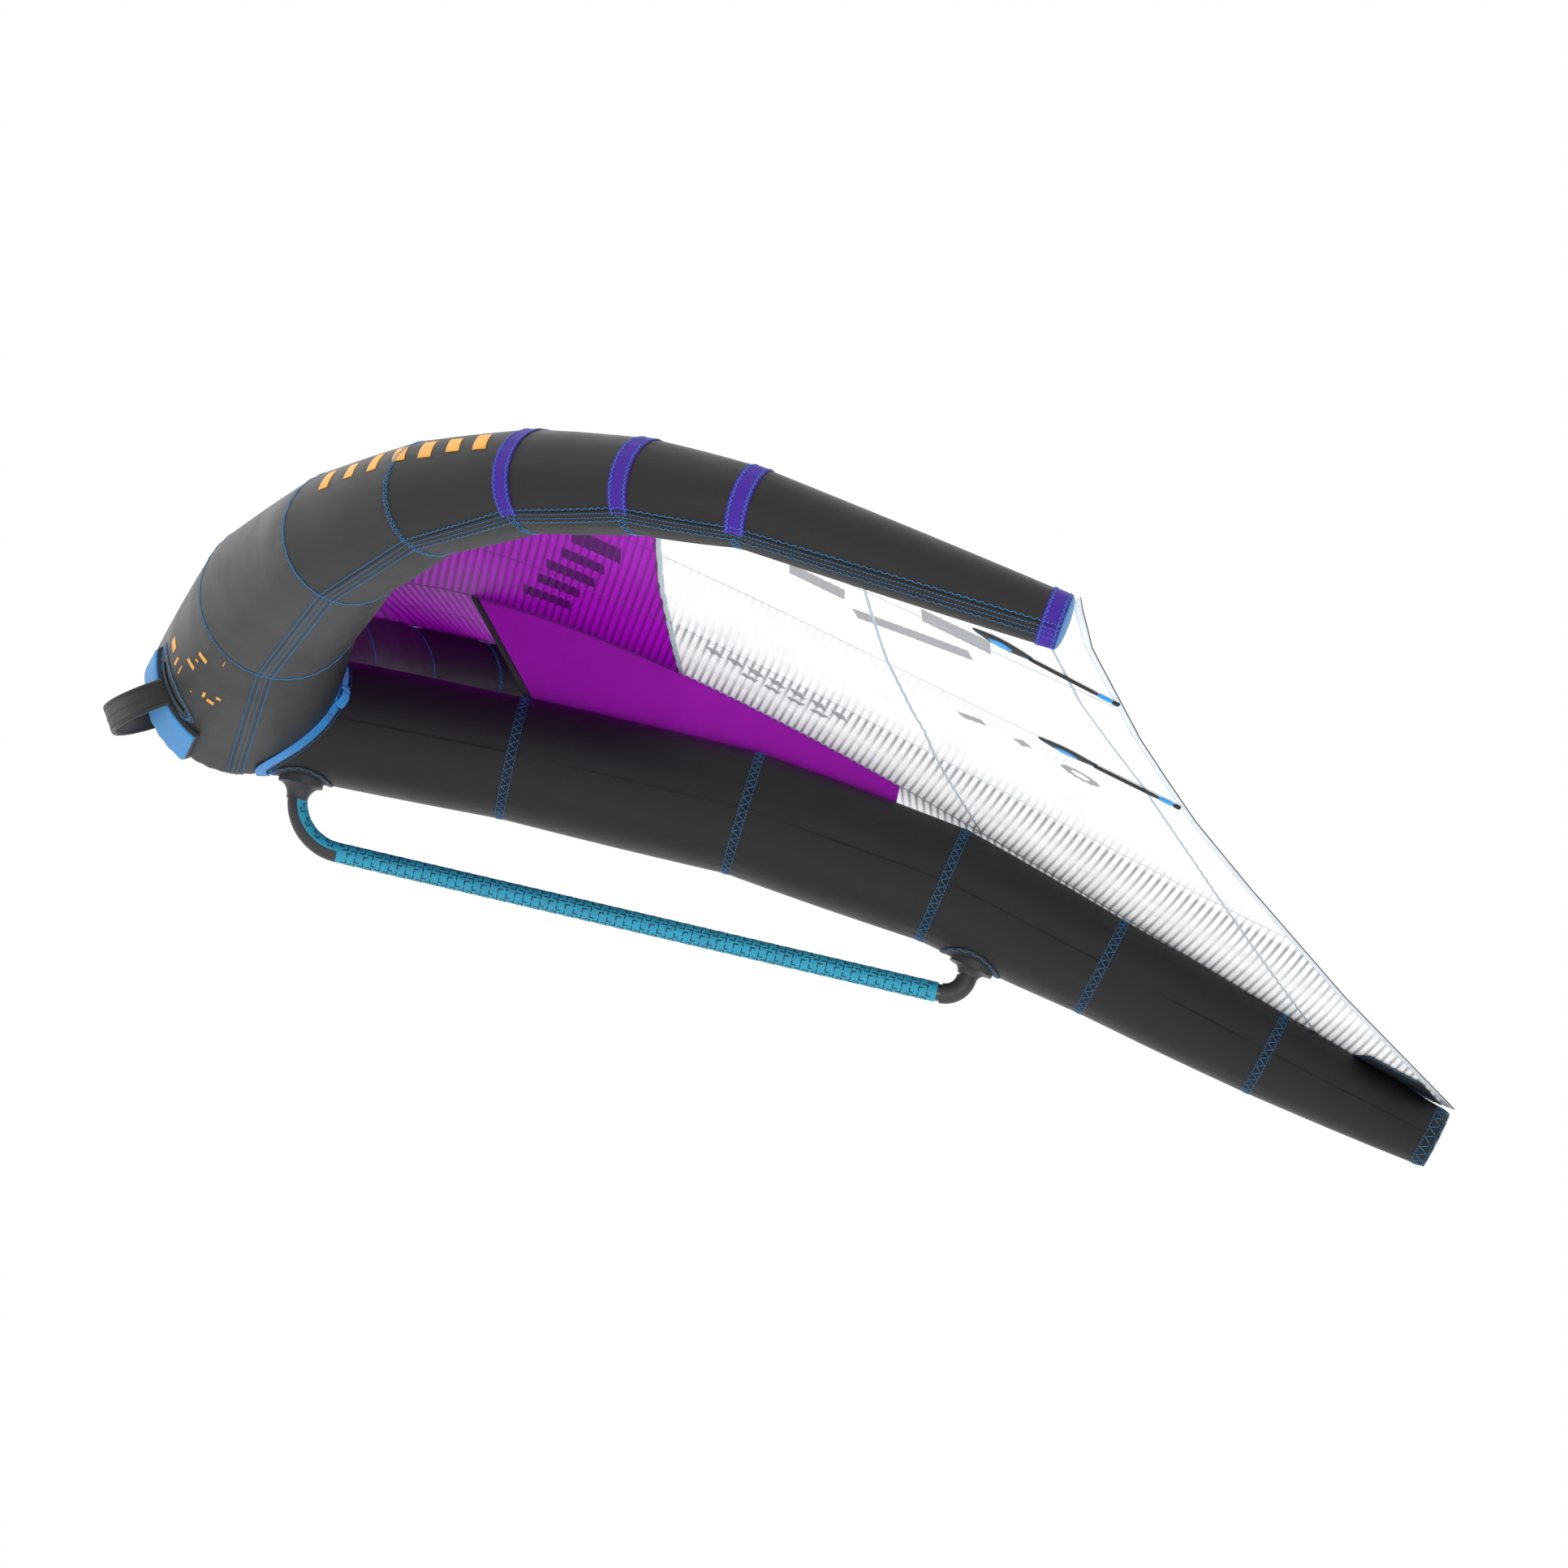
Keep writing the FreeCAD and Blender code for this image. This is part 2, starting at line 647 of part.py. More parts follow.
def pipe(edges, radius):
    path = Part.Wire(edges)
    first = edges[0]
    start = first.valueAt(first.FirstParameter)
    direction = first.tangentAt(first.FirstParameter)
    profile = Part.Wire([Part.Circle(start, direction, radius).toShape()])
    return path.makePipeShell([profile], True, False)


def make_boom():
    path = boom_path()
    tube = pipe(path, BOOM_TUBE_RADIUS)
    save("boom_tube", tube)
    bend_axis = V(GRIP_FRONT_X, -40, FRONT_BEND_RADIUS)
    inner_side = Part.makeCylinder(FRONT_BEND_RADIUS, 80, bend_axis, V(0, 1, 0))
    elbow = pipe([path[1]], GRIP_RADIUS).cut(tube)
    straight = Part.makeCylinder(GRIP_RADIUS, GRIP_REAR_X - GRIP_FRONT_X, V(GRIP_FRONT_X, 0, 0),
                                 V(1, 0, 0)).cut(tube)
    save("boom_grip", straight.fuse(elbow.common(inner_side)).removeSplitter())
    keel = elbow.cut(inner_side)
    save("boom_cuff_front", front_cuff(tube, keel))
    save("boom_cuff_rear", rear_cuff(tube, pipe([path[3]], GRIP_RADIUS + 0.4).cut(tube)))


def flange(foot_z, flange_z, top_z):
    """Trumpet-shaped foot that widens from the tube to the flange plate, about the z axis."""
    middle_z = flange_z - (flange_z - foot_z) * 0.42
    outline = [
        Part.LineSegment(V(0, 0, foot_z), V(NECK_RADIUS, 0, foot_z)).toShape(),
        Part.Arc(V(NECK_RADIUS, 0, foot_z), V(NECK_RADIUS + 3.4, 0, middle_z),
                 V(FLANGE_RADIUS - 4.0, 0, flange_z)).toShape(),
        Part.LineSegment(V(FLANGE_RADIUS - 4.0, 0, flange_z), V(FLANGE_RADIUS, 0, flange_z)).toShape(),
        Part.LineSegment(V(FLANGE_RADIUS, 0, flange_z), V(FLANGE_RADIUS, 0, top_z)).toShape(),
        Part.LineSegment(V(FLANGE_RADIUS, 0, top_z), V(0, 0, top_z)).toShape(),
        Part.LineSegment(V(0, 0, top_z), V(0, 0, foot_z)).toShape(),
    ]
    face = Part.Face(Part.Wire(outline))
    return face.revolve(V(0, 0, 0), V(0, 0, 1), 360)


def front_cuff(tube, keel):
    foot = flange(FRONT_NECK_Z, FRONT_FLANGE_Z, FRONT_FLANGE_Z + 26.0)
    foot.translate(V(GRIP_FRONT_X - FRONT_BEND_RADIUS, 0, 0))
    under = strut_front_tube(PATCH_THICKNESS + 0.2 + BOOM_CLEARANCE)
    foot = foot.cut(under).cut(le_nose(STRAP_THICKNESS + 1.5)).cut(tube)
    foot = foot.cut(pipe([boom_path()[1]], GRIP_RADIUS))
    foot = max(foot.Solids, key=lambda solid: solid.Volume)
    return foot.fuse(keel).removeSplitter()


def rear_cuff(tube, elbow):
    foot = flange(REAR_NECK_Z, REAR_FLANGE_Z, REAR_FLANGE_Z + 26.0)
    foot.rotate(V(0, 0, REAR_NECK_Z), V(0, 1, 0), REAR_FLANGE_TILT)
    foot.translate(V(REAR_BEND_X + REAR_BEND_RADIUS, 0, 0))
    foot = foot.cut(strut_segment(3, PATCH_THICKNESS + 0.2 + BOOM_CLEARANCE))
    foot = foot.cut(strut_segment(2, PATCH_THICKNESS + 0.2 + BOOM_CLEARANCE)).cut(tube)
    foot = max(foot.Solids, key=lambda solid: solid.Volume)
    return foot.fuse(elbow).removeSplitter()


def make_mount_patches():
    """Round reinforcement patches on the strut casing above each boom flange."""
    column = Part.makeCylinder(PATCH_RADIUS, 120, V(GRIP_FRONT_X - FRONT_BEND_RADIUS, 0, 40), V(0, 0, 1))
    skin = strut_segment(0, 0.2 + PATCH_THICKNESS).cut(strut_segment(0, 0.2))
    patch = skin.common(column).cut(le_nose(0.3))
    patch = patch.cut(strut_front_tube(STRAP_OUTER_OFFSET + 1.0).common(le_nose(STRAP_THICKNESS + 1.0)))
    save("mount_patch_front", max(patch.Solids, key=lambda solid: solid.Volume))
    column = Part.makeCylinder(PATCH_RADIUS, 120, V(REAR_BEND_X + REAR_BEND_RADIUS, 0, 0), V(0, 0, 1))
    grown = strut_segment(3, 0.2 + PATCH_THICKNESS).fuse(strut_segment(2, 0.2 + PATCH_THICKNESS))
    patch = grown.cut(strut_segment(3, 0.2)).cut(strut_segment(2, 0.2)).common(column)
    save("mount_patch_rear", max(patch.Solids, key=lambda solid: solid.Volume))


# ---------------------------------------------------------------- inflation valve

def valve_frame():
    """Centre on the casing and outward direction of the valve."""
    part = VALVE_Y / LE_RINGS[1][1]
    centre = LE_CENTRES[0] + (LE_CENTRES[1] - LE_CENTRES[0]) * part
    radius = LE_RADII[0] + (LE_RADII[1] - LE_RADII[0]) * part
    axis = unit(LE_CENTRES[1] - LE_CENTRES[0])
    out = unit(VALVE_DIRECTION - axis * VALVE_DIRECTION.dot(axis))
    return centre + out * radius, out, axis


def place_valve(shape):
    """From a frame with the valve's mouth along +Z to its place on the leading edge."""
    seat, out, axis = valve_frame()
    turn = FreeCAD.Rotation(axis, out.cross(axis), out, "ZXY")
    shape.Placement = FreeCAD.Placement(seat, turn)
    return shape


def make_valve():
    below = 8.0
    flange_plate = Part.makeCylinder(VALVE_FLANGE_RADIUS, VALVE_FLANGE_HEIGHT + below, V(0, 0, -below))
    barrel = Part.makeCylinder(VALVE_BODY_RADIUS, VALVE_BODY_HEIGHT, V(0, 0, 0))
    ears = []
    for sign in (-1, 1):
        ear = Part.makeBox(9, 3, 12, V(VALVE_EAR_OFFSET - 4.5, sign * 6.0 - 1.5, 0))
        ears.append(ear)
    base = flange_plate.fuse(barrel).fuse(ears[0]).fuse(ears[1])
    base = base.cut(Part.makeCylinder(VALVE_BORE_RADIUS, 60, V(0, 0, -20)))
    pin_z = VALVE_BODY_HEIGHT - 4.0
    pin = Part.makeCylinder(VALVE_PIN_RADIUS, 15.0, V(VALVE_EAR_OFFSET, -7.5, pin_z), V(0, 1, 0))
    base = base.fuse(pin)
    base = place_valve(base).cut(le_segment(0, 0.0))
    save("valve_base", max(base.Solids, key=lambda solid: solid.Volume))
    lid_z = VALVE_BODY_HEIGHT + VALVE_CAP_GAP
    lid = Part.makeCylinder(VALVE_CAP_RADIUS, VALVE_CAP_HEIGHT, V(0, 0, lid_z))
    plug = Part.makeCylinder(VALVE_BORE_RADIUS - 1.2, 4.0, V(0, 0, lid_z - 3.0))
    arm = Part.makeBox(VALVE_EAR_OFFSET - 10.0, 8.0, 3.4, V(13.0, -4.0, lid_z + 0.4))
    knuckle = Part.makeCylinder(VALVE_PIN_RADIUS + 2.0, 8.0, V(VALVE_EAR_OFFSET, -4.0, pin_z), V(0, 1, 0))
    post = Part.makeBox(3.0, 8.0, lid_z + 2.0 - pin_z, V(VALVE_EAR_OFFSET, -4.0, pin_z))
    cap = lid.fuse(plug).fuse(arm).fuse(post).fuse(knuckle)
    cap = cap.cut(Part.makeCylinder(VALVE_PIN_RADIUS + 0.06, 20, V(VALVE_EAR_OFFSET, -10, pin_z), V(0, 1, 0)))
    save("valve_cap", place_valve(cap.removeSplitter()))


# ---------------------------------------------------------------- build

make_leading_edge()
make_le_bladder()
make_tip_caps()
make_bands()
make_strut()
make_canopy()
make_web()
make_gussets()
make_battens()
make_nose_pad()
make_handle()
make_anchors()
make_strap()
make_buckle()
make_boom()
make_mount_patches()
make_valve()
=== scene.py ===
import math

import bmesh
import bpy
import numpy as np
from mathutils import Matrix, Vector


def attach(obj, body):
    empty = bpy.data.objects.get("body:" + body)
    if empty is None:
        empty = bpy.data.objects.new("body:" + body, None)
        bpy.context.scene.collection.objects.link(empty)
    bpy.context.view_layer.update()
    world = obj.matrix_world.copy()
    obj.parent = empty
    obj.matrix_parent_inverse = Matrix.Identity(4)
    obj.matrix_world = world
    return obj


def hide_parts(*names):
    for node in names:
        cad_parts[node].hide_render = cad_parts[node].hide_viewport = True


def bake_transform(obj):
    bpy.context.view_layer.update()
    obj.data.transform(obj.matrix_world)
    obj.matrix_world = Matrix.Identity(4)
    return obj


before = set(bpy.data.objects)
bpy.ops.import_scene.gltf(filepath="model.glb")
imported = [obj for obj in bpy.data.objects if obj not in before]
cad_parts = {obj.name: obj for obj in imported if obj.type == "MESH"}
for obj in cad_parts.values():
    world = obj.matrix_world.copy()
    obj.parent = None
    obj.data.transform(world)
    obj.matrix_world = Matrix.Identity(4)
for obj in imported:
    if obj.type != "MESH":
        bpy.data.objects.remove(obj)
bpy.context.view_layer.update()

# Inflatable hand-held wing on a grip boom. Metres, +X aft, +Y starboard, +Z up.
Z_AXIS = np.array([0.0, 0.0, 1.0])
SIDES = (("port", -1.0), ("starboard", 1.0))

# ---------------------------------------------------------------- sizes shared with the frame

LE_RINGS = [
    (-0.637, 0.0, 0.211, 0.135),
    (-0.588, 0.366, 0.297, 0.117),
    (-0.492, 0.763, 0.353, 0.094),
    (-0.378, 0.999, 0.400, 0.078),
    (-0.243, 1.152, 0.432, 0.069),
    (-0.099, 1.262, 0.442, 0.064),
    (0.047, 1.331, 0.437, 0.055),
    (0.477, 1.404, 0.373, 0.037),
]
TIP_NORMAL = (0.9915, 0.04, -0.124)
STRUT_RINGS = [
    (-0.600, 0.0, 0.181, 0.091),
    (-0.232, 0.0, 0.192, 0.090),
    (0.112, 0.0, 0.190, 0.0915),
    (0.418, 0.0, 0.154, 0.088),
    (0.669, 0.0, 0.090, 0.075),
    (0.928, 0.0, 0.021, 0.0635),
    (1.197, 0.0, -0.045, 0.0435),
]
SEAT_ANGLES = [60.0, 50.0, 64.0, 60.0, 56.0, 54.0, 52.0, 30.0]
TRAILING_EDGE = [
    (1.210, 0.0, 0.005),
    (1.000, 0.340, 0.092),
    (0.819, 0.680, 0.174),
    (0.717, 0.900, 0.220),
    (0.657, 1.040, 0.254),
    (0.610, 1.150, 0.282),
    (0.519, 1.320, 0.360),
    (0.487, 1.383, 0.412),
]
CAMBER = [0.141, 0.084, 0.036, 0.016, 0.007, 0.003, 0.001, 0.0]
PANEL_LINE_X = -0.026
PANEL_LINE_SWEEP = -0.0525
HEM_WIDTH = 0.012

# Flat cut of each canopy panel and of the web: width and length of the cloth it comes from.
FRONT_PANEL_CUT = (1.26, 0.56)
REAR_PANEL_CUT = (1.42, 1.26)
WEB_CUT = (0.672, 0.20)

# Degrees round each leading edge ring, from its inner side, of the tube's closing seam.
CLOSING_SEAM_ANGLES = [-83.0, -90.0, -99.0, -110.0, -123.0, -131.0, -128.0, -147.0]
TAPED_RINGS = (4, 5, 6)
TAPE_WIDTH = 0.028
CLOTH_THICKNESS = 0.0008
CANOPY_THICKNESS = 0.0005
FILM_THICKNESS = 0.0005

# Sewing.
THREAD_RADIUS = 0.00048
STITCH_PITCH = 0.0052
SEAM_HALF_WIDTH = 0.0055

# Boom.
GRIP_RADIUS = 0.0146
GRIP_FRONT_X = -0.448
GRIP_REAR_X = 0.444
FRONT_BEND_RADIUS = 0.075
REAR_BEND_X = 0.450
REAR_BEND_RADIUS = 0.032

# Camera: direction of view, distance, and its offset to the right and up from the frame's origin.
CAMERA_AZIMUTH = 0.441
CAMERA_ELEVATION = -6.493
CAMERA_ROLL = 13.149
CAMERA_DISTANCE = 12.7956
CAMERA_SHIFT = (0.2114, 0.2008)
CAMERA_LENS = 202.7
FLOOR_Z = -1.75

# Studio light.
BRIGHT_SIDE = (0.0, 0.82, 0.57)
DIM_STRENGTH = 0.2
BRIGHT_STRENGTH = 1.5
DIM_BELOW = -0.75
BRIGHT_ABOVE = 0.55
FLOOR_SIZE = 40.0

# Soft lights: name, place, what it aims at, diameter and power.
LIGHTS = (("key", (-2.6, -4.5, 2.6), (0.0, 0.0, 0.2), 1.6, 70.0),
          ("low", (1.2, -4.0, -1.2), (0.3, -0.4, 0.2), 2.0, 50.0))


# ---------------------------------------------------------------- camera, light and floor

def make_camera():
    azimuth = math.radians(CAMERA_AZIMUTH)
    rise = math.radians(-CAMERA_ELEVATION)
    roll = math.radians(CAMERA_ROLL)
    view = Vector((-math.sin(azimuth) * math.cos(rise), math.cos(azimuth) * math.cos(rise), math.sin(rise)))
    level = Vector((math.cos(azimuth), math.sin(azimuth), 0.0))
    above = level.cross(view)
    right = level * math.cos(roll) + above * math.sin(roll)
    up = above * math.cos(roll) - level * math.sin(roll)
    place = right * CAMERA_SHIFT[0] + up * CAMERA_SHIFT[1] - view * CAMERA_DISTANCE
    data = bpy.data.cameras.new("camera")
    data.lens = CAMERA_LENS
    data.sensor_width = 36.0
    camera = bpy.data.objects.new("camera", data)
    rotation = Matrix((right, up, -view)).transposed()
    camera.matrix_world = Matrix.Translation(place) @ rotation.to_4x4()
    bpy.context.collection.objects.link(camera)
    bpy.context.scene.camera = camera


def area_light(name, place, target, size, power):
    data = bpy.data.lights.new(name, "AREA")
    data.shape = "DISK"
    data.size = size
    data.energy = power
    light = bpy.data.objects.new(name, data)
    light.location = place
    aim = Vector(target) - Vector(place)
    light.rotation_euler = aim.to_track_quat("-Z", "Y").to_euler()
    bpy.context.collection.objects.link(light)


def light_the_world(tree):
    """White backdrop that is bright behind and above the object and dim in front of it."""
    background = tree.nodes["Background"]
    background.inputs["Color"].default_value = (1.0, 1.0, 1.0, 1.0)
    coordinates = tree.nodes.new("ShaderNodeTexCoord")
    aim = tree.nodes.new("ShaderNodeVectorMath")
    aim.operation = "DOT_PRODUCT"
    aim.inputs[1].default_value = BRIGHT_SIDE
    tree.links.new(coordinates.outputs["Generated"], aim.inputs[0])
    ramp = tree.nodes.new("ShaderNodeMapRange")
    ramp.interpolation_type = "SMOOTHSTEP"
    ramp.inputs["From Min"].default_value = DIM_BELOW
    ramp.inputs["From Max"].default_value = BRIGHT_ABOVE
    ramp.inputs["To Min"].default_value = DIM_STRENGTH
    ramp.inputs["To Max"].default_value = BRIGHT_STRENGTH
    tree.links.new(aim.outputs["Value"], ramp.inputs["Value"])
    path = tree.nodes.new("ShaderNodeLightPath")
    choose = tree.nodes.new("ShaderNodeMix")
    tree.links.new(path.outputs["Is Camera Ray"], choose.inputs[0])
    tree.links.new(ramp.outputs[0], choose.inputs[2])
    choose.inputs[3].default_value = 1.0
    tree.links.new(choose.outputs[0], background.inputs["Strength"])


def make_studio():
    scene = bpy.context.scene
    scene.view_settings.view_transform = "Standard"
    world = bpy.data.worlds.new("studio")
    scene.world = world
    world.use_nodes = True
    light_the_world(world.node_tree)
    for light in LIGHTS:
        area_light(*light)
    bpy.ops.mesh.primitive_plane_add(size=FLOOR_SIZE, location=(0.0, 0.0, FLOOR_Z))
    floor = bpy.context.object
    floor.name = "studio_floor"
    shade = bpy.data.materials.new("floor_paint")
    shade.use_nodes = True
    shader = shade.node_tree.nodes["Principled BSDF"]
    shader.inputs["Base Color"].default_value = (0.86, 0.86, 0.86, 1.0)
    shader.inputs["Roughness"].default_value = 0.8
    floor.data.materials.append(shade)


# ---------------------------------------------------------------- vector helpers

def unit(rows):
    rows = np.asarray(rows, float)
    return rows / np.maximum(np.linalg.norm(rows, axis=-1, keepdims=True), 1e-12)


def smoothstep(low, high, value):
    t = np.clip((value - low) / (high - low), 0.0, 1.0)
    return t * t * (3.0 - 2.0 * t)


def sided(points, side):
    """Starboard points as they are, or mirrored to port."""
    points = np.array(points, float)
    points[..., 1] *= side
    return points


def srgb(red, green, blue):
    """Linear colour from 0 to 255 display values."""
    linear = []
    for value in (red, green, blue):
        share = value / 255.0
        linear.append(share / 12.92 if share <= 0.04045 else ((share + 0.055) / 1.055) ** 2.4)
    return (*linear, 1.0)


# ---------------------------------------------------------------- mesh helpers

# Section of a flat band: share of its half width, share of its thickness, and 1 where the rim insets it.
RIBBON_SECTION = ((-1.0, 0.5, 1), (0.0, 0.5, 1), (1.0, 0.5, 1), (1.0, 0.22, 0), (1.0, -0.22, 0),
                  (1.0, -0.5, 1), (0.0, -0.5, 1), (-1.0, -0.5, 1), (-1.0, -0.22, 0), (-1.0, 0.22, 0))
RIBBON_RIM = 0.8


def make_piece(name, verts, faces, material, body="wing", cloth=None):
    """New mesh object, riding on a body if one is named; cloth is each vertex's (along, around)."""
    mesh = bpy.data.meshes.new(name)
    mesh.from_pydata(np.asarray(verts).tolist(), [], faces)
    if cloth is not None:
        attribute = mesh.attributes.new("cloth", "FLOAT_VECTOR", "POINT")
        flat = np.zeros((len(verts), 3))
        flat[:, :2] = cloth
        attribute.data.foreach_set("vector", flat.ravel())
    mesh.polygons.foreach_set("use_smooth", [True] * len(mesh.polygons))
    mesh.materials.append(material)
    mesh.update()
    piece = bpy.data.objects.new(name, mesh)
    bpy.context.collection.objects.link(piece)
    if body is not None:
        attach(piece, body)
    return piece


def grid_faces(rows, columns, wrap, start=0):
    faces = []
    last = columns if wrap else columns - 1
    for i in range(rows - 1):
        for j in range(last):
            k = (j + 1) % columns
            a = start + i * columns
            faces.append((a + j, a + columns + j, a + columns + k, a + k))
    return faces


def faces_out(points, outs, faces):
    """The faces turned so that they look along outs on the whole."""
    flat = points.reshape(-1, 3)
    normals = outs.reshape(-1, 3)
    sample = np.array([face[:3] for face in faces[:: max(len(faces) // 400, 1)]])
    a, b, c = (flat[sample[:, i]] for i in range(3))
    facing = (np.cross(b - a, c - a) * normals[sample[:, 0]]).sum()
    return faces if facing > 0 else [face[::-1] for face in faces]


def grid_piece(name, points, outs, material, wrap=False, thickness=0.0, cloth=None, body="wing"):
    rows, columns = points.shape[:2]
    faces = faces_out(points, outs, grid_faces(rows, columns, wrap))
    flat_cloth = None if cloth is None else cloth.reshape(-1, 2)
    piece = make_piece(name, points.reshape(-1, 3), faces, material, body, flat_cloth)
    if thickness:
        thicken(piece, thickness)
    return piece


def thicken(piece, thickness, offset=-1.0):
    solid = piece.modifiers.new("cloth", "SOLIDIFY")
    solid.thickness = thickness
    solid.offset = offset


def path_frames(path, normals):
    """Sideways directions and normals square to a path."""
    tangents = unit(np.gradient(path, axis=0))
    sides = unit(np.cross(tangents, normals))
    return sides, unit(np.cross(sides, tangents))


def path_run(path):
    """Distance along a path at each of its points."""
    return np.concatenate([[0.0], np.cumsum(np.linalg.norm(np.diff(path, axis=0), axis=1))])


def along_path(at, knots, rows):
    """Rows of three values read between their knots."""
    return np.stack([np.interp(at, knots, rows[:, i]) for i in range(3)], axis=-1)


def end_faces(rows, columns):
    """The two faces that close a tube made of rings."""
    last = (rows - 1) * columns
    return [tuple(range(columns)), tuple(reversed(range(last, last + columns)))]


def closed_tube(points, outs):
    """Rings of points with their sides and both ends closed, as a (points, faces) part."""
    rows, columns = points.shape[:2]
    return points, faces_out(points, outs, grid_faces(rows, columns, True) + end_faces(rows, columns))


def ribbon_points(path, normals, width, thickness):
    """Closed band section along a path: flat faces and rounded edges. width may be an array."""
    sides, ups = path_frames(path, normals)
    half = np.broadcast_to(np.asarray(width, float) / 2.0, (len(path),))
    rim = np.minimum(half * 0.5, thickness * RIBBON_RIM)
    rows = []
    for share, height, inset in RIBBON_SECTION:
        reach = (half - inset * rim) * share
        rows.append(path + sides * reach[:, None] + ups * (height * thickness))
    return np.stack(rows, axis=1)


def ribbon(name, path, normals, width, thickness, material, closed=False, body="wing"):
    points = ribbon_points(path, normals, width, thickness)
    rows, columns = points.shape[:2]
    faces = grid_faces(rows, columns, True)
    if closed:
        last = (rows - 1) * columns
        for j in range(columns):
            k = (j + 1) % columns
            faces.append((last + j, j, k, last + k))
    else:
        faces += end_faces(rows, columns)
    faces = faces_out(points, points - path[:, None], faces)
    around = np.linspace(0.0, 1.0, columns) * 0.05
    lie = np.stack(np.broadcast_arrays(path_run(path)[:, None], around[None, :]), axis=-1).reshape(-1, 2)
    return make_piece(name, points.reshape(-1, 3), faces, material, body, lie)


def tube_piece(name, path, radii, material, sides, body="wing"):
    """Round bar along a path, closed at both ends."""
    across, ups = path_frames(path, np.broadcast_to(Z_AXIS, path.shape))
    turn = np.linspace(0.0, 2.0 * math.pi, sides, endpoint=False)
    radii = np.broadcast_to(radii, (len(path),))
    out = across[:, None] * np.cos(turn)[None, :, None] + ups[:, None] * np.sin(turn)[None, :, None]
    return join_parts(name, [closed_tube(path[:, None] + out * radii[:, None, None], out)], material, body)


def join_parts(name, parts, material, body="wing", cloth=None):
    """One piece from several (points, faces) parts."""
    verts = []
    faces = []
    for points, part_faces in parts:
        start = sum(len(v) for v in verts)
        verts.append(np.asarray(points).reshape(-1, 3))
        faces += [tuple(i + start for i in face) for face in part_faces]
    return make_piece(name, np.concatenate(verts), faces, material, body, cloth)


# ---------------------------------------------------------------- tubes

class Tube:
    """Chain of tapered cloth segments between round seam rings, blown up tight."""

    PUCKER = 0.0005
    PUCKER_PITCH = 0.021
    PUCKER_REACH = 0.020
    PINCH = 0.0009
    PINCH_REACH = 0.006
    BARREL = 0.0012

    def __init__(self, rings, first_normal=None, last_normal=None):
        self.centres = np.array([ring[:3] for ring in rings])
        self.radii = np.array([ring[3] for ring in rings])
        steps = unit(np.diff(self.centres, axis=0))
        first = steps[0] if first_normal is None else first_normal
        last = steps[-1] if last_normal is None else last_normal
        normals = [first] + [unit(a + b) for a, b in zip(steps, steps[1:])] + [last]
        self.normals = np.array(normals)
        self.inward = unit(np.cross(self.normals, Z_AXIS))
        self.up = np.cross(self.inward, self.normals)
        self.lengths = np.linalg.norm(np.diff(self.centres, axis=0), axis=1)
        self.run = np.concatenate([[0.0], np.cumsum(self.lengths)])
        self.puckers = np.round(2.0 * math.pi * self.radii / self.PUCKER_PITCH)

    def relief(self, low, t, theta):
        """Height of the cloth above the plain cone."""
        height = self.BARREL * np.sin(math.pi * t)
        for ring, share in ((low, t), (low + 1, 1.0 - t)):
            reach = share * self.lengths[low]
            waves = np.cos(self.puckers[ring] * theta + ring)
            height = height + self.PUCKER * waves * np.exp(-reach / self.PUCKER_REACH)
            height = height - self.PINCH * np.exp(-reach / self.PINCH_REACH)
        return height

    def surface(self, place, theta, lift=0.0, segment=None):
        """Point and outward normal; place counts rings, theta is radians from the inner side."""
        place, theta = np.broadcast_arrays(np.asarray(place, float), np.asarray(theta, float))
        if segment is None:
            low = np.clip(np.floor(place).astype(int), 0, len(self.radii) - 2)
        else:
            low = np.full(place.shape, segment)
        t = place - low
        ends = []
        outs = []
        for ring in (low, low + 1):
            out = np.cos(theta)[..., None] * self.inward[ring] + np.sin(theta)[..., None] * self.up[ring]
            outs.append(out)
            ends.append(self.centres[ring] + self.radii[ring][..., None] * out)
        share = t[..., None]
        normal = unit(outs[0] * (1.0 - share) + outs[1] * share)
        point = ends[0] * (1.0 - share) + ends[1] * share
        return point + normal * (lift + self.relief(low, t, theta))[..., None], normal

    def beside(self, ring, offset):
        """Place of a line at a distance along the tube from a ring."""
        segment = min(ring, len(self.lengths) - 1) if offset > 0 else max(ring - 1, 0)
        return ring + offset / self.lengths[segment]

    def radius_at(self, place):
        return np.interp(place, range(len(self.radii)), self.radii)

    def place_at(self, distance):
        return np.interp(distance, self.run, range(len(self.run)))


LE = Tube(LE_RINGS, np.array([0.0, 1.0, 0.0]), unit(TIP_NORMAL))
STRUT = Tube(STRUT_RINGS)


ROWS_BY_SEAM = [0.0, 0.002, 0.005, 0.009, 0.015, 0.023, 0.034]
FIRST_WIDE_ROW = 0.05
WIDE_ROW_STEP = 0.03


def segment_places(length):
    """Closer rows near the seams, where the cloth puckers, as shares of the segment."""
    middle = np.linspace(FIRST_WIDE_ROW, length - FIRST_WIDE_ROW, max(int(length / WIDE_ROW_STEP), 2))
    rows = ROWS_BY_SEAM + list(middle) + [length - row for row in ROWS_BY_SEAM[::-1]]
    return np.array(rows) / length


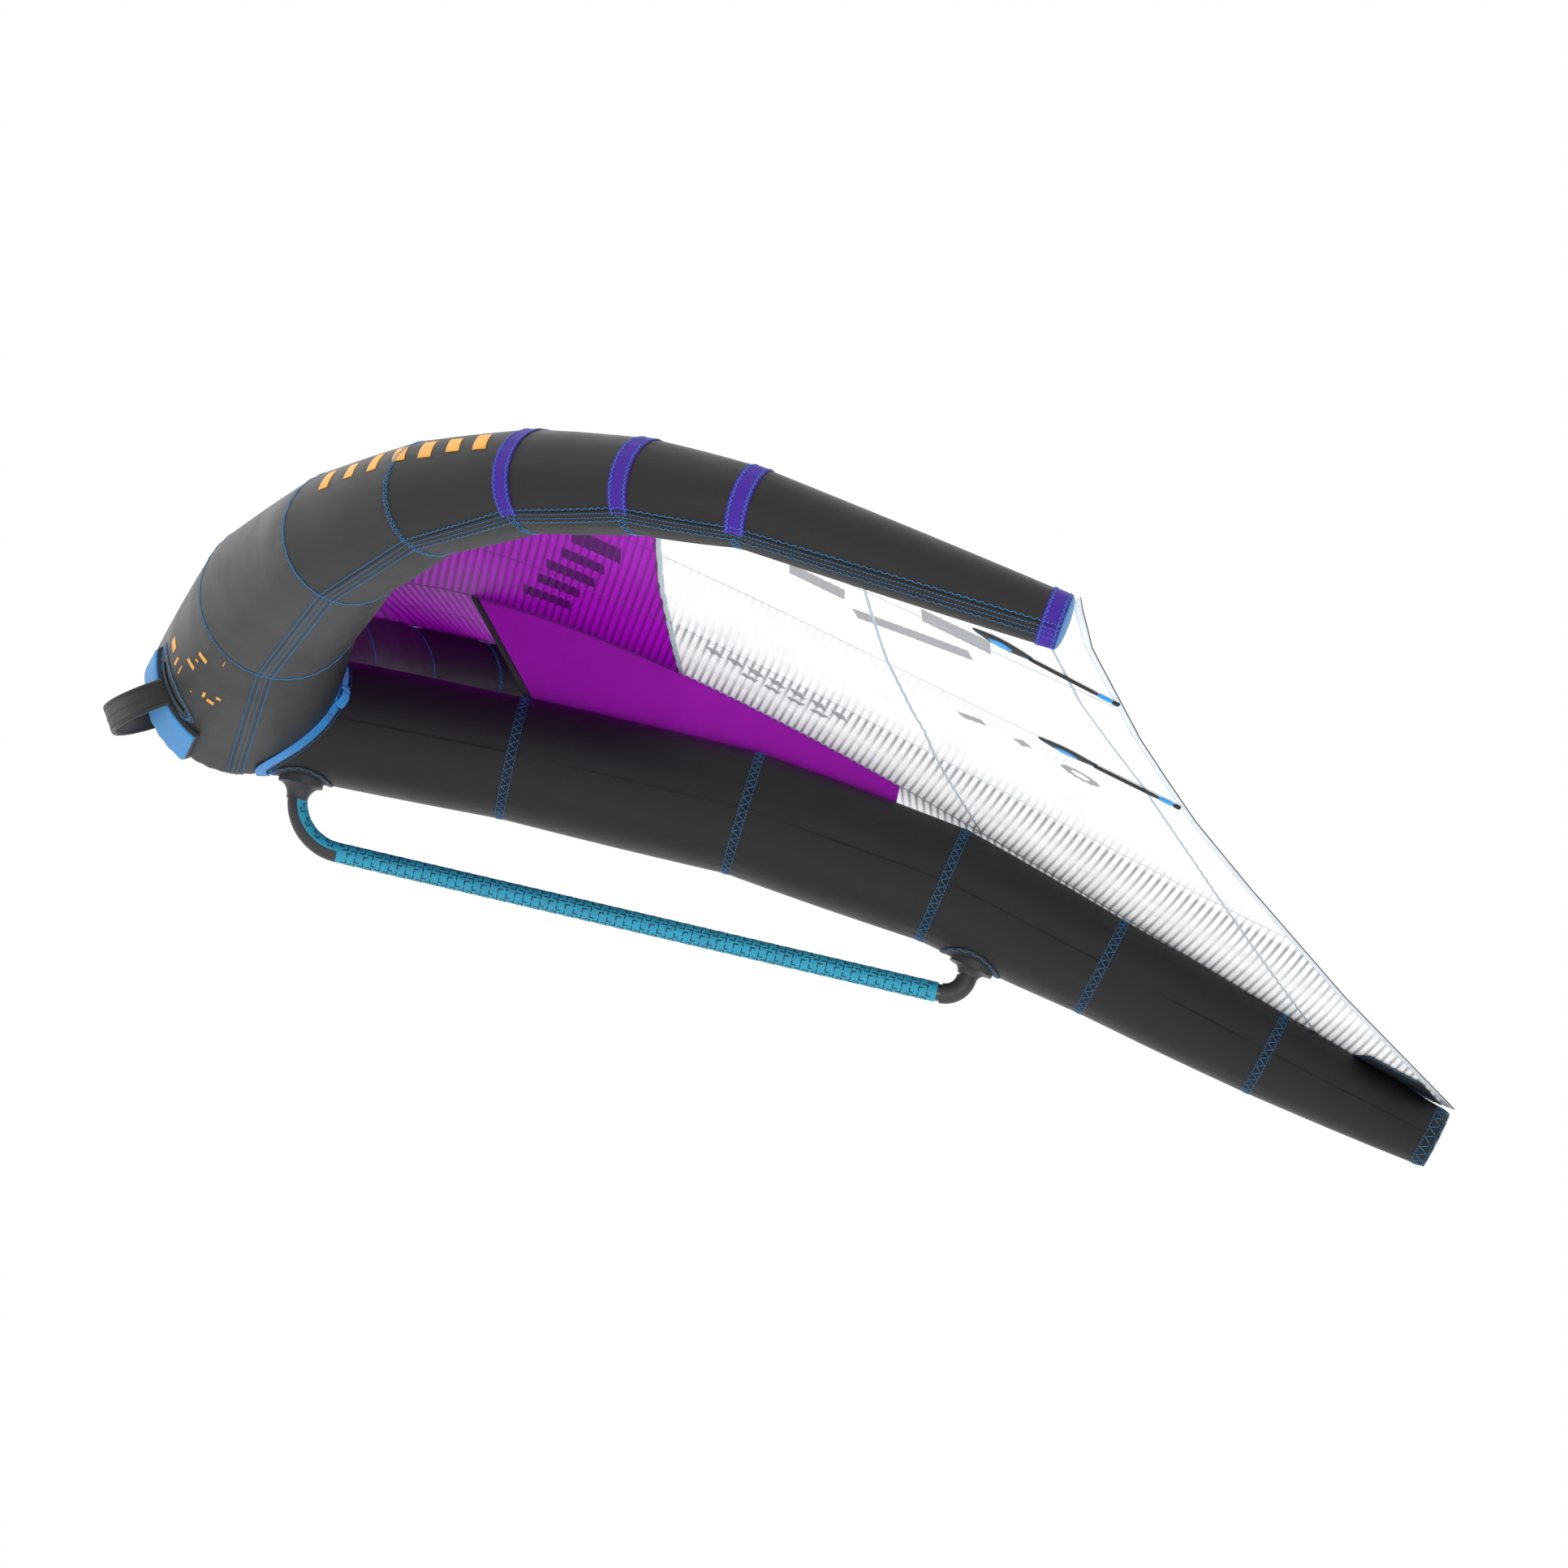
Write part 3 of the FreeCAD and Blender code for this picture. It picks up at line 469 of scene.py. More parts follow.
def skin_segment(name, tube, segment, side, material, start=None):
    """Cloth casing of one segment; start gives each column's first place."""
    columns = int(max(math.ceil(tube.puckers[segment] * 5 / 8.0) * 8, 96))
    theta = np.linspace(0.0, 2.0 * math.pi, columns, endpoint=False)
    rows = segment_places(tube.lengths[segment])
    places = np.broadcast_to(rows[:, None], (len(rows), columns)).copy()
    if start is not None:
        first = start(theta)
        places = first[None, :] + places * (1.0 - first[None, :])
    points, outs = tube.surface(segment + places, theta[None, :], segment=segment)
    along = places * tube.lengths[segment]
    around = np.broadcast_to(theta[None, :], along.shape) * tube.radii[segment]
    cloth = np.stack([along, around], axis=-1)
    piece = grid_piece(name, sided(points, side), sided(outs, side), material, True,
                       CLOTH_THICKNESS, cloth)
    girth = math.pi * (tube.radii[segment] + tube.radii[segment + 1])
    return declare_cloth(piece, girth, tube.lengths[segment])


def declare_cloth(piece, width, length, area=None):
    """Hands the piece back as it is; area, what the cloth covers where that is less than the cut, is not
    used.
    """
    return piece


def declare_by_mesh(piece, length, width=None, closed=False):
    """Works out a sheet's width from its cut length, or from the cloth's own area without a width, and hands
    these to declare_cloth.
    """
    area = sum(face.area for face in piece.data.polygons) / (2.0 if closed else 1.0)
    width = area / length if width is None else width
    declare_cloth(piece, width, length, min(area, width * length))


def stand_for(node):
    """Hides the frame node that a new piece is seen in place of."""
    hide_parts(node)


# ---------------------------------------------------------------- where the strut meets the nose

def nose_clearance(points):
    """Distance of points outside the leading edge's first segment, near the centre."""
    points = points.copy()
    points[..., 1] = np.abs(points[..., 1])
    axis = LE.centres[1] - LE.centres[0]
    t = points[..., 1] / axis[1]
    for _ in range(6):
        centre = LE.centres[0] + axis * t[..., None]
        normal = unit(LE.normals[0] * (1.0 - t[..., None]) + LE.normals[1] * t[..., None])
        t = t + ((points - centre) * normal).sum(-1) / np.linalg.norm(axis)
    centre = LE.centres[0] + axis * t[..., None]
    radius = LE.radii[0] + (LE.radii[1] - LE.radii[0]) * t
    return np.linalg.norm(points - centre, axis=-1) - radius


def strut_at(place, theta, lift):
    """Point and outward direction on the strut's first segment, taken as a plain cone."""
    out = np.stack([np.zeros_like(theta), -np.cos(theta), np.sin(theta)], axis=-1)
    start, end = STRUT.centres[0], STRUT.centres[1]
    radius = STRUT.radii[0] + (STRUT.radii[1] - STRUT.radii[0]) * place
    return start + (end - start) * place[..., None] + out * (radius + lift)[..., None], out


def junction_place(theta, lift=0.0, clear=0.0):
    """Place on the strut's first segment where a line round it leaves the leading edge."""
    theta = np.asarray(theta, float)
    low = np.full(theta.shape, 0.0)
    high = np.full(theta.shape, 1.0)
    for _ in range(30):
        middle = (low + high) / 2.0
        outside = nose_clearance(strut_at(middle, theta, np.full(theta.shape, lift))[0]) > clear
        high = np.where(outside, middle, high)
        low = np.where(outside, low, middle)
    return high


# ---------------------------------------------------------------- sewing

class Sewing:
    """Gathers the stitches of one thread into one piece."""

    def __init__(self, name, material, body="wing"):
        self.name = name
        self.material = material
        self.body = body
        self.points = []
        self.count = 0

    def stitches(self, starts, ends, first_normals, last_normals, radius=THREAD_RADIUS):
        """Short thread bars that dip into the cloth at both ends."""
        tangents = unit(ends - starts)
        rows = []
        middle = (starts + ends) / 2.0
        middle_normals = unit(first_normals + last_normals)
        for centre, normal, rise, size in ((starts, first_normals, 0.0, 0.6),
                                           (middle, middle_normals, 0.9, 1.0),
                                           (ends, last_normals, 0.0, 0.6)):
            across = unit(np.cross(tangents, normal))
            base = centre + normal * (rise * radius)
            for side, height in ((1, 0), (0, 1), (-1, 0), (0, -1)):
                rows.append(base + (across * side + normal * height) * (size * radius))
        self.points.append(np.stack(rows, axis=1).reshape(-1, 3))
        self.count += len(starts)

    def dashes(self, line, length, pitch=STITCH_PITCH, duty=0.7, radius=THREAD_RADIUS):
        number = max(int(round(length / pitch)), 1)
        starts = np.arange(number) / number
        a, first = line(starts)
        b, last = line(starts + duty / number)
        self.stitches(a, b, first, last, radius)

    def zigzag(self, left, right, length, period, radius=THREAD_RADIUS):
        number = max(int(round(length / period)), 1) * 2
        steps = np.arange(number + 1) / number
        a, first = left(steps)
        b, last = right(steps)
        even = (np.arange(number + 1) % 2 == 0)[:, None]
        corners = np.where(even, a, b)
        normals = np.where(even, first, last)
        self.stitches(corners[:-1], corners[1:], normals[:-1], normals[1:], radius)

    def finish(self):
        verts = np.concatenate(self.points)
        faces = []
        for stitch in range(self.count):
            start = stitch * 12
            faces += grid_faces(3, 4, True, start)
            faces.append((start + 3, start + 2, start + 1, start))
            faces.append((start + 8, start + 9, start + 10, start + 11))
        return make_piece(self.name, verts, faces, self.material, self.body)


def ring_line(tube, ring, offset, side, first, last, lift=0.0004):
    """Line round a tube beside a ring, from one angle to another in degrees."""
    place = tube.beside(ring, offset)

    def line(share):
        theta = np.radians(first + (last - first) * share)
        points, outs = tube.surface(place, theta, lift)
        return sided(points, side), sided(outs, side)
    return line


def ladder_seam(sewing, tube, ring, side, first, last, centre=0.0, half=SEAM_HALF_WIDTH, period=0.011):
    """Two rows of straight stitches with a zigzag between them."""
    length = abs(math.radians(last - first)) * tube.radii[ring]
    rails = [ring_line(tube, ring, centre + offset, side, first, last) for offset in (-half, half)]
    inner = [ring_line(tube, ring, centre + offset * 0.8, side, first, last) for offset in (-half, half)]
    for rail in rails:
        sewing.dashes(rail, length)
    sewing.zigzag(inner[0], inner[1], length, period)


# ---------------------------------------------------------------- materials

class Shade:
    """A Principled material with short calls for its nodes."""

    def __init__(self, name, roughness=0.6, specular=0.5, sheen=0.0, coat=0.0):
        self.material = bpy.data.materials.new(name)
        self.material.use_nodes = True
        self.tree = self.material.node_tree
        self.shader = self.tree.nodes["Principled BSDF"]
        self.shader.inputs["Roughness"].default_value = roughness
        self.shader.inputs["Specular IOR Level"].default_value = specular
        if sheen:
            self.shader.inputs["Sheen Weight"].default_value = sheen
            self.shader.inputs["Sheen Roughness"].default_value = 0.4
        if coat:
            self.shader.inputs["Coat Weight"].default_value = coat
            self.shader.inputs["Coat Roughness"].default_value = 0.25

    def node(self, kind):
        return self.tree.nodes.new(kind)

    def link(self, output, target):
        self.tree.links.new(output, target)

    def math(self, operation, first, second=None):
        node = self.node("ShaderNodeMath")
        node.operation = operation
        for slot, value in ((0, first), (1, second)):
            if value is None:
                continue
            if isinstance(value, (int, float)):
                node.inputs[slot].default_value = value
            else:
                self.link(value, node.inputs[slot])
        return node.outputs[0]

    def object_coordinates(self):
        return self.node("ShaderNodeTexCoord").outputs["Object"]

    def cloth_coordinates(self):
        node = self.node("ShaderNodeAttribute")
        node.attribute_name = "cloth"
        return node.outputs["Vector"]

    def stretched(self, vector, scale):
        node = self.node("ShaderNodeMapping")
        node.inputs["Scale"].default_value = scale
        self.link(vector, node.inputs["Vector"])
        return node.outputs[0]

    def noise(self, vector, scale, detail=3.0, roughness=0.6):
        node = self.node("ShaderNodeTexNoise")
        node.inputs["Scale"].default_value = scale
        node.inputs["Detail"].default_value = detail
        node.inputs["Roughness"].default_value = roughness
        self.link(vector, node.inputs["Vector"])
        return node.outputs["Fac"]

    def between(self, factor, low, high):
        """Colour from low to high by a factor of 0 to 1."""
        node = self.node("ShaderNodeMix")
        node.data_type = "RGBA"
        self.link(factor, node.inputs[0])
        for slot, colour in ((6, low), (7, high)):
            if isinstance(colour, tuple):
                node.inputs[slot].default_value = colour
            else:
                self.link(colour, node.inputs[slot])
        return node.outputs[2]

    def remap(self, value, low, high, new_low=0.0, new_high=1.0):
        node = self.node("ShaderNodeMapRange")
        node.inputs["From Min"].default_value = low
        node.inputs["From Max"].default_value = high
        node.inputs["To Min"].default_value = new_low
        node.inputs["To Max"].default_value = new_high
        self.link(value, node.inputs["Value"])
        return node.outputs[0]

    def weave(self, vector, pitch):
        """Plain weave height: thread crests in a chequer of the given pitch."""
        split = self.node("ShaderNodeSeparateXYZ")
        self.link(vector, split.inputs[0])
        waves = []
        for output in (split.outputs[0], split.outputs[1]):
            waves.append(self.math("SINE", self.math("MULTIPLY", output, 2.0 * math.pi / pitch)))
        return self.math("MULTIPLY", waves[0], waves[1])

    def bump(self, height, distance, strength=1.0):
        node = self.node("ShaderNodeBump")
        node.inputs["Strength"].default_value = strength
        node.inputs["Distance"].default_value = distance
        self.link(height, node.inputs["Height"])
        self.link(node.outputs[0], self.shader.inputs["Normal"])

    def colour(self, output):
        self.link(output, self.shader.inputs["Base Color"])
        return self

    def rough(self, output):
        self.link(output, self.shader.inputs["Roughness"])


def lighter(colour, share):
    return (*[min(c * share, 1.0) for c in colour[:3]], 1.0)


YARN_SPREAD = 0.16
YARN_HEIGHT = 0.00012
RIPSTOP_PITCH = 0.006


def woven(name, colour, pitch=0.0014, roughness=0.55, attribute=True, specular=0.5):
    """Woven cloth: streaky yarn colour, a fine weave and slow patches of wear."""
    shade = Shade(name, roughness, specular)
    vector = shade.cloth_coordinates() if attribute else shade.object_coordinates()
    streaks = shade.noise(shade.stretched(vector, (12.0, 420.0, 60.0)), 1.0, 4.0, 0.7)
    weft = shade.noise(shade.stretched(vector, (420.0, 12.0, 60.0)), 1.0, 3.0, 0.7)
    yarn = shade.math("ADD", shade.math("MULTIPLY", streaks, 0.6), shade.math("MULTIPLY", weft, 0.4))
    patches = shade.noise(shade.object_coordinates(), 9.0, 3.0)
    mixed = shade.math("ADD", shade.math("MULTIPLY", yarn, 0.75), shade.math("MULTIPLY", patches, 0.25))
    factor = shade.remap(mixed, 0.36, 0.64)
    dark, light = lighter(colour, 1.0 - YARN_SPREAD), lighter(colour, 1.0 + YARN_SPREAD)
    shade.colour(shade.between(factor, dark, light))
    height = shade.math("ADD", shade.weave(vector, pitch), shade.math("MULTIPLY", yarn, 0.8))
    shade.bump(height, YARN_HEIGHT)
    shade.rough(shade.remap(patches, 0.3, 0.7, roughness - 0.06, roughness + 0.06))
    return shade.material


def webbing(name, colour, pitch=0.0022):
    """Thick strap cloth with ribs across it."""
    shade = Shade(name, 0.6, 0.4, 0.25)
    vector = shade.cloth_coordinates()
    split = shade.node("ShaderNodeSeparateXYZ")
    shade.link(vector, split.inputs[0])
    ribs = shade.math("SINE", shade.math("MULTIPLY", split.outputs[0], 2.0 * math.pi / pitch))
    fuzz = shade.noise(shade.object_coordinates(), 900.0, 2.0)
    wear = shade.noise(shade.object_coordinates(), 26.0, 4.0)
    height = shade.math("ADD", ribs, shade.math("MULTIPLY", fuzz, 0.8))
    factor = shade.remap(shade.math("ADD", shade.math("MULTIPLY", ribs, 0.12), wear), 0.3, 0.75)
    shade.colour(shade.between(factor, lighter(colour, 0.8), lighter(colour, 1.15)))
    shade.bump(height, 0.0003)
    return shade.material


def moulded(name, colour, roughness, grain, bump=0.00008, coat=0.0):
    """Moulded plastic or rubber with a fine grain and handling marks."""
    shade = Shade(name, roughness, coat=coat)
    vector = shade.object_coordinates()
    fine = shade.noise(vector, grain, 2.0)
    marks = shade.noise(vector, 22.0, 5.0, 0.65)
    shade.colour(shade.between(shade.remap(marks, 0.35, 0.7), lighter(colour, 0.9), lighter(colour, 1.12)))
    shade.rough(shade.remap(marks, 0.3, 0.7, roughness - 0.08, roughness + 0.1))
    shade.bump(fine, bump)
    return shade.material


def see_through(shade, colour, share):
    """Mixes in the light that thin cloth lets through from behind."""
    passing = shade.node("ShaderNodeBsdfTranslucent")
    if isinstance(colour, tuple):
        passing.inputs["Color"].default_value = colour
    else:
        shade.link(colour, passing.inputs["Color"])
    mix = shade.node("ShaderNodeMixShader")
    mix.inputs[0].default_value = share
    output = shade.tree.nodes["Material Output"]
    shade.link(shade.shader.outputs[0], mix.inputs[1])
    shade.link(passing.outputs[0], mix.inputs[2])
    shade.link(mix.outputs[0], output.inputs["Surface"])


def box_mask(shade, vector, marks):
    """One inside any of the marks: (kind, x, y, half length, half width, turn in degrees)."""
    total = None
    for kind, x, y, half_x, half_y, turn in marks:
        mapping = shade.node("ShaderNodeMapping")
        mapping.vector_type = "TEXTURE"
        mapping.inputs["Location"].default_value = (x, y, 0.0)
        mapping.inputs["Rotation"].default_value = (0.0, 0.0, math.radians(turn))
        mapping.inputs["Scale"].default_value = (half_x, half_y, 1000.0)
        shade.link(vector, mapping.inputs["Vector"])
        if kind == "ring":
            length = shade.node("ShaderNodeVectorMath")
            length.operation = "LENGTH"
            shade.link(mapping.outputs[0], length.inputs[0])
            gap = shade.math("ABSOLUTE", shade.math("SUBTRACT", length.outputs["Value"], 0.74))
            inside = shade.math("LESS_THAN", gap, 0.26)
        else:
            size = shade.node("ShaderNodeVectorMath")
            size.operation = "ABSOLUTE"
            shade.link(mapping.outputs[0], size.inputs[0])
            split = shade.node("ShaderNodeSeparateXYZ")
            shade.link(size.outputs[0], split.inputs[0])
            join = "ADD" if kind == "diamond" else "MAXIMUM"
            reach = shade.math(join, split.outputs[0], split.outputs[1])
            inside = shade.math("LESS_THAN", reach, 1.0)
        total = inside if total is None else shade.math("MAXIMUM", total, inside)
    return total


def fold_shade_mask(shade, along, outboard, shade_bands):
    """Painted shadow in the valleys of the ripples, in bands (middle, inner reach, outer reach, strength)."""
    slant = shade.math("SUBTRACT", along, shade.math("MULTIPLY", outboard, RIB_SWEEP))
    wave = shade.math("COSINE", shade.math("MULTIPLY", slant, 2.0 * math.pi / RIB_PITCH))
    valley = shade.remap(wave, -0.1, -0.75)
    total = None
    for middle, inner, outer, strength in shade_bands:
        away = shade.math("SUBTRACT", outboard, middle)
        inside = shade.remap(away, -inner, 0.0)
        beyond = shade.remap(away, outer, 0.0)
        band = shade.math("MULTIPLY", shade.math("MINIMUM", inside, beyond), strength)
        total = band if total is None else shade.math("MAXIMUM", total, band)
    return shade.math("MULTIPLY", valley, total)


def ripstop(name, colour, share, marks=(), mark_colour=None, shade_bands=(), fold_shade_colour=None):
    """Thin coated canopy cloth with a square ripstop grid, printed marks, painted shade in its ripple valleys
    and light coming through.
    """
    shade = Shade(name, 0.45, 0.12)
    vector = shade.object_coordinates()
    split = shade.node("ShaderNodeSeparateXYZ")
    shade.link(vector, split.inputs[0])
    outboard = shade.math("ABSOLUTE", split.outputs[1])
    lines = None
    for output in (split.outputs[0], split.outputs[1]):
        place = shade.math("FRACT", shade.math("MULTIPLY", output, 1.0 / RIPSTOP_PITCH))
        line = shade.math("LESS_THAN", shade.math("ABSOLUTE", shade.math("SUBTRACT", place, 0.5)), 0.05)
        lines = line if lines is None else shade.math("MAXIMUM", lines, line)
    cloudy = shade.noise(vector, 14.0, 4.0)
    factor = shade.remap(cloudy, 0.3, 0.7)
    base = shade.between(factor, lighter(colour, 0.95), lighter(colour, 1.05))
    base = shade.between(shade.math("MULTIPLY", lines, 0.15), base, lighter(colour, 0.85))
    if marks:
        plan = shade.node("ShaderNodeCombineXYZ")
        shade.link(split.outputs[0], plan.inputs[0])
        shade.link(outboard, plan.inputs[1])
        base = shade.between(box_mask(shade, plan.outputs[0], marks), base, mark_colour)
    # Painted shade: the colour darkens in the valleys of the ripples, band by band.
    if shade_bands:
        base = shade.between(fold_shade_mask(shade, split.outputs[0], outboard, shade_bands), base, fold_shade_colour)
    shade.colour(base)
    creases = shade.noise(shade.stretched(vector, (70.0, 18.0, 18.0)), 1.0, 4.0, 0.6)
    height = shade.math("ADD", shade.math("MULTIPLY", lines, 0.4), creases)
    shade.bump(height, 0.00035, 0.7)
    see_through(shade, base, share)
    return shade.material


CHARCOAL = srgb(31, 31, 32)

# Printed marks on the canopy: kind, place aft and outboard, half sizes, turn.
PURPLE_MARKS = [("bar", -0.230 + 0.018 * i, 0.20 + 0.145 * i, 0.036 - 0.004 * (i % 2), 0.040, 0.0)
                for i in range(5)]
WHITE_MARKS = [("bar", 0.150, 1.085, 0.040, 0.017, 4.0),
               ("bar", 0.290, 1.075, 0.088, 0.014, 22.0),
               ("bar", 0.345, 1.165, 0.050, 0.020, 8.0),
               ("bar", 0.395, 0.843, 0.020, 0.011, 32.0),
               ("diamond", 0.469, 0.850, 0.015, 0.017, 0.0),
               ("ring", 0.556, 0.834, 0.030, 0.021, -20.0)]
WHITE_MARKS += [("bar", 0.025 + 0.032 * i, 0.372, 0.010, 0.021, 14.0) for i in range(7)]
WHITE_MARKS += [("bar", 0.080 + 0.036 * i, 0.295, 0.012, 0.016, -10.0) for i in range(4)]

# Bands of painted ripple shadow: distance of the middle from the centre line, reach in, reach out, strength.
PURPLE_FOLD_SHADE = ((0.0, 1.0, 1.0, 0.85), (0.44, 0.4, 1.6, 0.8))
WHITE_FOLD_SHADE = ((0.0, 0.1, 0.30, 1.0), (0.455, 0.26, 0.035, 0.95), (0.47, 0.01, 0.12, 0.35),
               (0.90, 0.10, 0.02, 0.2))


def make_materials():
    stock = {}
    stock["casing"] = woven("casing_cloth", CHARCOAL, roughness=0.40, specular=0.22)
    stock["patch"] = woven("patch_cloth", lighter(CHARCOAL, 0.85), pitch=0.001, attribute=False)
    stock["tape"] = woven("seam_tape_cloth", srgb(62, 30, 142), pitch=0.001, roughness=0.55, specular=0.2)
    stock["thread"] = moulded("blue_thread", srgb(48, 134, 196), 0.5, 2500.0)
    stock["grey_thread"] = moulded("pale_thread", srgb(170, 196, 214), 0.6, 2500.0)
    stock["dark_thread"] = moulded("black_thread", srgb(24, 24, 26), 0.6, 2500.0)
    # The last colour of each canopy cloth is painted shade for the valleys of its ripples.
    stock["front"] = ripstop("canopy_purple", srgb(186, 12, 204), 0.45, PURPLE_MARKS, srgb(96, 4, 116),
                             PURPLE_FOLD_SHADE, srgb(122, 6, 138))
    stock["rear"] = ripstop("canopy_white", srgb(249, 250, 251), 0.5, WHITE_MARKS, srgb(190, 191, 194),
                            WHITE_FOLD_SHADE, srgb(176, 177, 180))
    stock["web"] = ripstop("web_magenta", srgb(178, 26, 194), 0.3)
    stock["seam_grey"] = woven("seam_grey", srgb(176, 190, 198), pitch=0.001, attribute=False)
    stock["seam_violet"] = woven("seam_violet", srgb(96, 12, 116), pitch=0.001, attribute=False)
    stock["hem"] = woven("hem_cloth", srgb(232, 238, 243), pitch=0.001, attribute=False)
    stock["black_cloth"] = woven("black_cloth", srgb(30, 31, 34), pitch=0.001, attribute=False)
    stock["gusset"] = woven("gusset_cloth", srgb(32, 36, 44), pitch=0.0012, attribute=False)
    stock["blue_cloth"] = woven("cap_cloth", srgb(58, 122, 172), pitch=0.001, attribute=False)
    stock["grey_cap"] = woven("strut_cap_cloth", srgb(112, 150, 168), pitch=0.001, attribute=False)
    stock["pad"] = moulded("pad_foam", srgb(56, 138, 200), 0.55, 900.0, 0.00025)
    stock["handle"] = webbing("handle_webbing", srgb(36, 36, 37))
    stock["strap"] = webbing("strap_webbing", srgb(36, 134, 208), 0.0018)
    stock["buckle"] = moulded("buckle_plastic", srgb(30, 128, 206), 0.32, 500.0, coat=0.3)
    stock["grip"] = moulded("grip_foam", srgb(30, 150, 182), 0.6, 1400.0, 0.0003)
    stock["inlay"] = moulded("grip_inlay", srgb(18, 22, 26), 0.6, 900.0)
    stock["boom_rubber"] = moulded("boom_rubber", srgb(44, 44, 46), 0.5, 1200.0, 0.0001)
    stock["carbon"] = moulded("boom_tube_carbon", srgb(34, 34, 36), 0.3, 300.0, coat=0.5)
    stock["batten"] = moulded("batten_black", srgb(24, 25, 27), 0.35, 800.0)
    stock["batten_blue"] = moulded("batten_blue", srgb(40, 148, 220), 0.4, 800.0)
    stock["valve"] = moulded("valve_plastic", srgb(40, 41, 44), 0.4, 700.0)
    stock["valve_lid"] = moulded("valve_lid_plastic", srgb(50, 132, 196), 0.38, 700.0)
    stock["print"] = moulded("orange_print", srgb(226, 160, 52), 0.5, 1600.0)
    bladder = Shade("bladder_film", 0.3, 0.5)
    film = bladder.noise(bladder.object_coordinates(), 18.0, 3.0)
    bladder.colour(bladder.between(film, srgb(206, 210, 204), srgb(228, 230, 226)))
    bladder.bump(film, 0.001)
    see_through(bladder, srgb(220, 222, 218), 0.4)
    stock["bladder"] = bladder.material
    return stock


# ---------------------------------------------------------------- canopy surface

SEAT_LIFT = 0.0006
RIB_PITCH = 0.0115
RIB_SWEEP = 0.047
RIB_HEIGHT = 0.00085
COLUMN_PITCH = 0.020
TRAILING = np.array(TRAILING_EDGE)
SECTIONS = np.arange(len(LE_RINGS), dtype=float)


def seat_points():
    rows = []
    for index, angle in enumerate(SEAT_ANGLES):
        turn = math.radians(angle)
        out = LE.inward[index] * math.cos(turn) + LE.up[index] * math.sin(turn)
        rows.append(LE.centres[index] + out * (LE.radii[index] + SEAT_LIFT))
    return np.array(rows)


SEATS = seat_points()


def along_sections(values, section):
    values = np.asarray(values, float)
    if values.ndim == 1:
        return np.interp(section, SECTIONS, values)
    return np.stack([np.interp(section, SECTIONS, values[:, i]) for i in range(3)], axis=-1)


def bulge(part):
    part = np.clip(part, 0.0, 1.0)
    return np.sqrt(part) * (1.0 - part) ** 1.35 / 0.34


def rib_height(point, part, chord):
    """Cloth ripples that run along the span, strongest near the middle of the wing."""
    y = np.abs(point[..., 1])
    phase = (point[..., 0] - RIB_SWEEP * y) * 2.0 * math.pi / RIB_PITCH
    outer = 1.0 - 0.75 * smoothstep(0.45, 1.0, y)
    purple = point[..., 0] < PANEL_LINE_X + PANEL_LINE_SWEEP * y
    strength = np.where(purple, np.maximum(outer, 0.75), outer)
    edges = smoothstep(0.0, 0.03, part * chord) * smoothstep(0.0, 0.035, (1.0 - part) * chord)
    return RIB_HEIGHT * strength * edges * np.cos(phase)


def canopy(section, part, drop=0.0, ribs=True):
    """Canopy point at a section number and a part of its chord."""
    section, part = np.broadcast_arrays(np.asarray(section, float), np.asarray(part, float))
    front = along_sections(SEATS, section)
    rear = along_sections(TRAILING, section)
    point = front + (rear - front) * part[..., None]
    height = along_sections(CAMBER, section) * bulge(part) - drop
    if ribs:
        height = height + rib_height(point, part, np.linalg.norm(rear - front, axis=-1))
    point[..., 2] += height
    return point


def canopy_place(x, y):
    """Section number and part of the chord above a plan position on the starboard side."""
    x, y = np.broadcast_arrays(np.asarray(x, float), np.asarray(y, float))
    part = np.full(x.shape, 0.5)
    section = np.zeros(x.shape)
    for _ in range(12):
        for spot in np.ndindex(x.shape):
            line = SEATS[:, 1] + (TRAILING[:, 1] - SEATS[:, 1]) * part[spot]
            section[spot] = np.interp(y[spot], line, SECTIONS)
        front = along_sections(SEATS[:, 0], section)
        rear = along_sections(TRAILING[:, 0], section)
        part = np.clip((x - front) / (rear - front), 0.0, 1.0)
    return section, part


def canopy_at(x, y, drop=0.0, ribs=False):
    """Canopy point and upward normal above plan positions."""
    step = 0.004
    middle = canopy(*canopy_place(x, y), drop, ribs)
    ahead = canopy(*canopy_place(np.asarray(x) + step, y), drop, False)
    beside = canopy(*canopy_place(x, np.asarray(y) + step), drop, False)
    flat = canopy(*canopy_place(x, y), drop, False)
    normal = unit(np.cross(ahead - flat, beside - flat))
    return middle, np.where(normal[..., 2:] < 0, -normal, normal)


def panel_line_part(section):
    """Part of the chord where the purple front panel ends."""
    front = along_sections(SEATS[:, 0], section)
    rear = along_sections(TRAILING[:, 0], section)
    x = PANEL_LINE_X + PANEL_LINE_SWEEP * along_sections(TRAILING[:, 1], section)
    return (x - front) / (rear - front)


def section_columns(first, last):
    """Section numbers at about equal steps across the span."""
    columns = [first]
    for index in range(int(math.floor(first)), int(math.ceil(last))):
        low = max(first, index)
        high = min(last, index + 1)
        width = abs(TRAILING[index + 1][1] - TRAILING[index][1]) * (high - low)
        steps = max(int(math.ceil(width / COLUMN_PITCH)), 1)
        columns += list(low + (high - low) * (np.arange(steps) + 1.0) / steps)
    return columns


def canopy_column(section, start, end):
    """Rib-aligned rows of one column: (row key, part of the chord)."""
    front = canopy(section, 0.0, ribs=False)
    rear = canopy(section, 1.0, ribs=False)
    first = front[0] - RIB_SWEEP * front[1]
    last = rear[0] - RIB_SWEEP * rear[1]
    pitch = RIB_PITCH / 4.0
    low = first + (last - first) * start
    high = first + (last - first) * end
    keys = np.arange(math.ceil((low + 0.0006) / pitch), math.floor((high - 0.0006) / pitch) + 1)
    parts = (keys * pitch - first) / (last - first)
    rows = [(low / pitch, start)] + list(zip(keys.astype(float), parts)) + [(high / pitch, end)]
    return rows


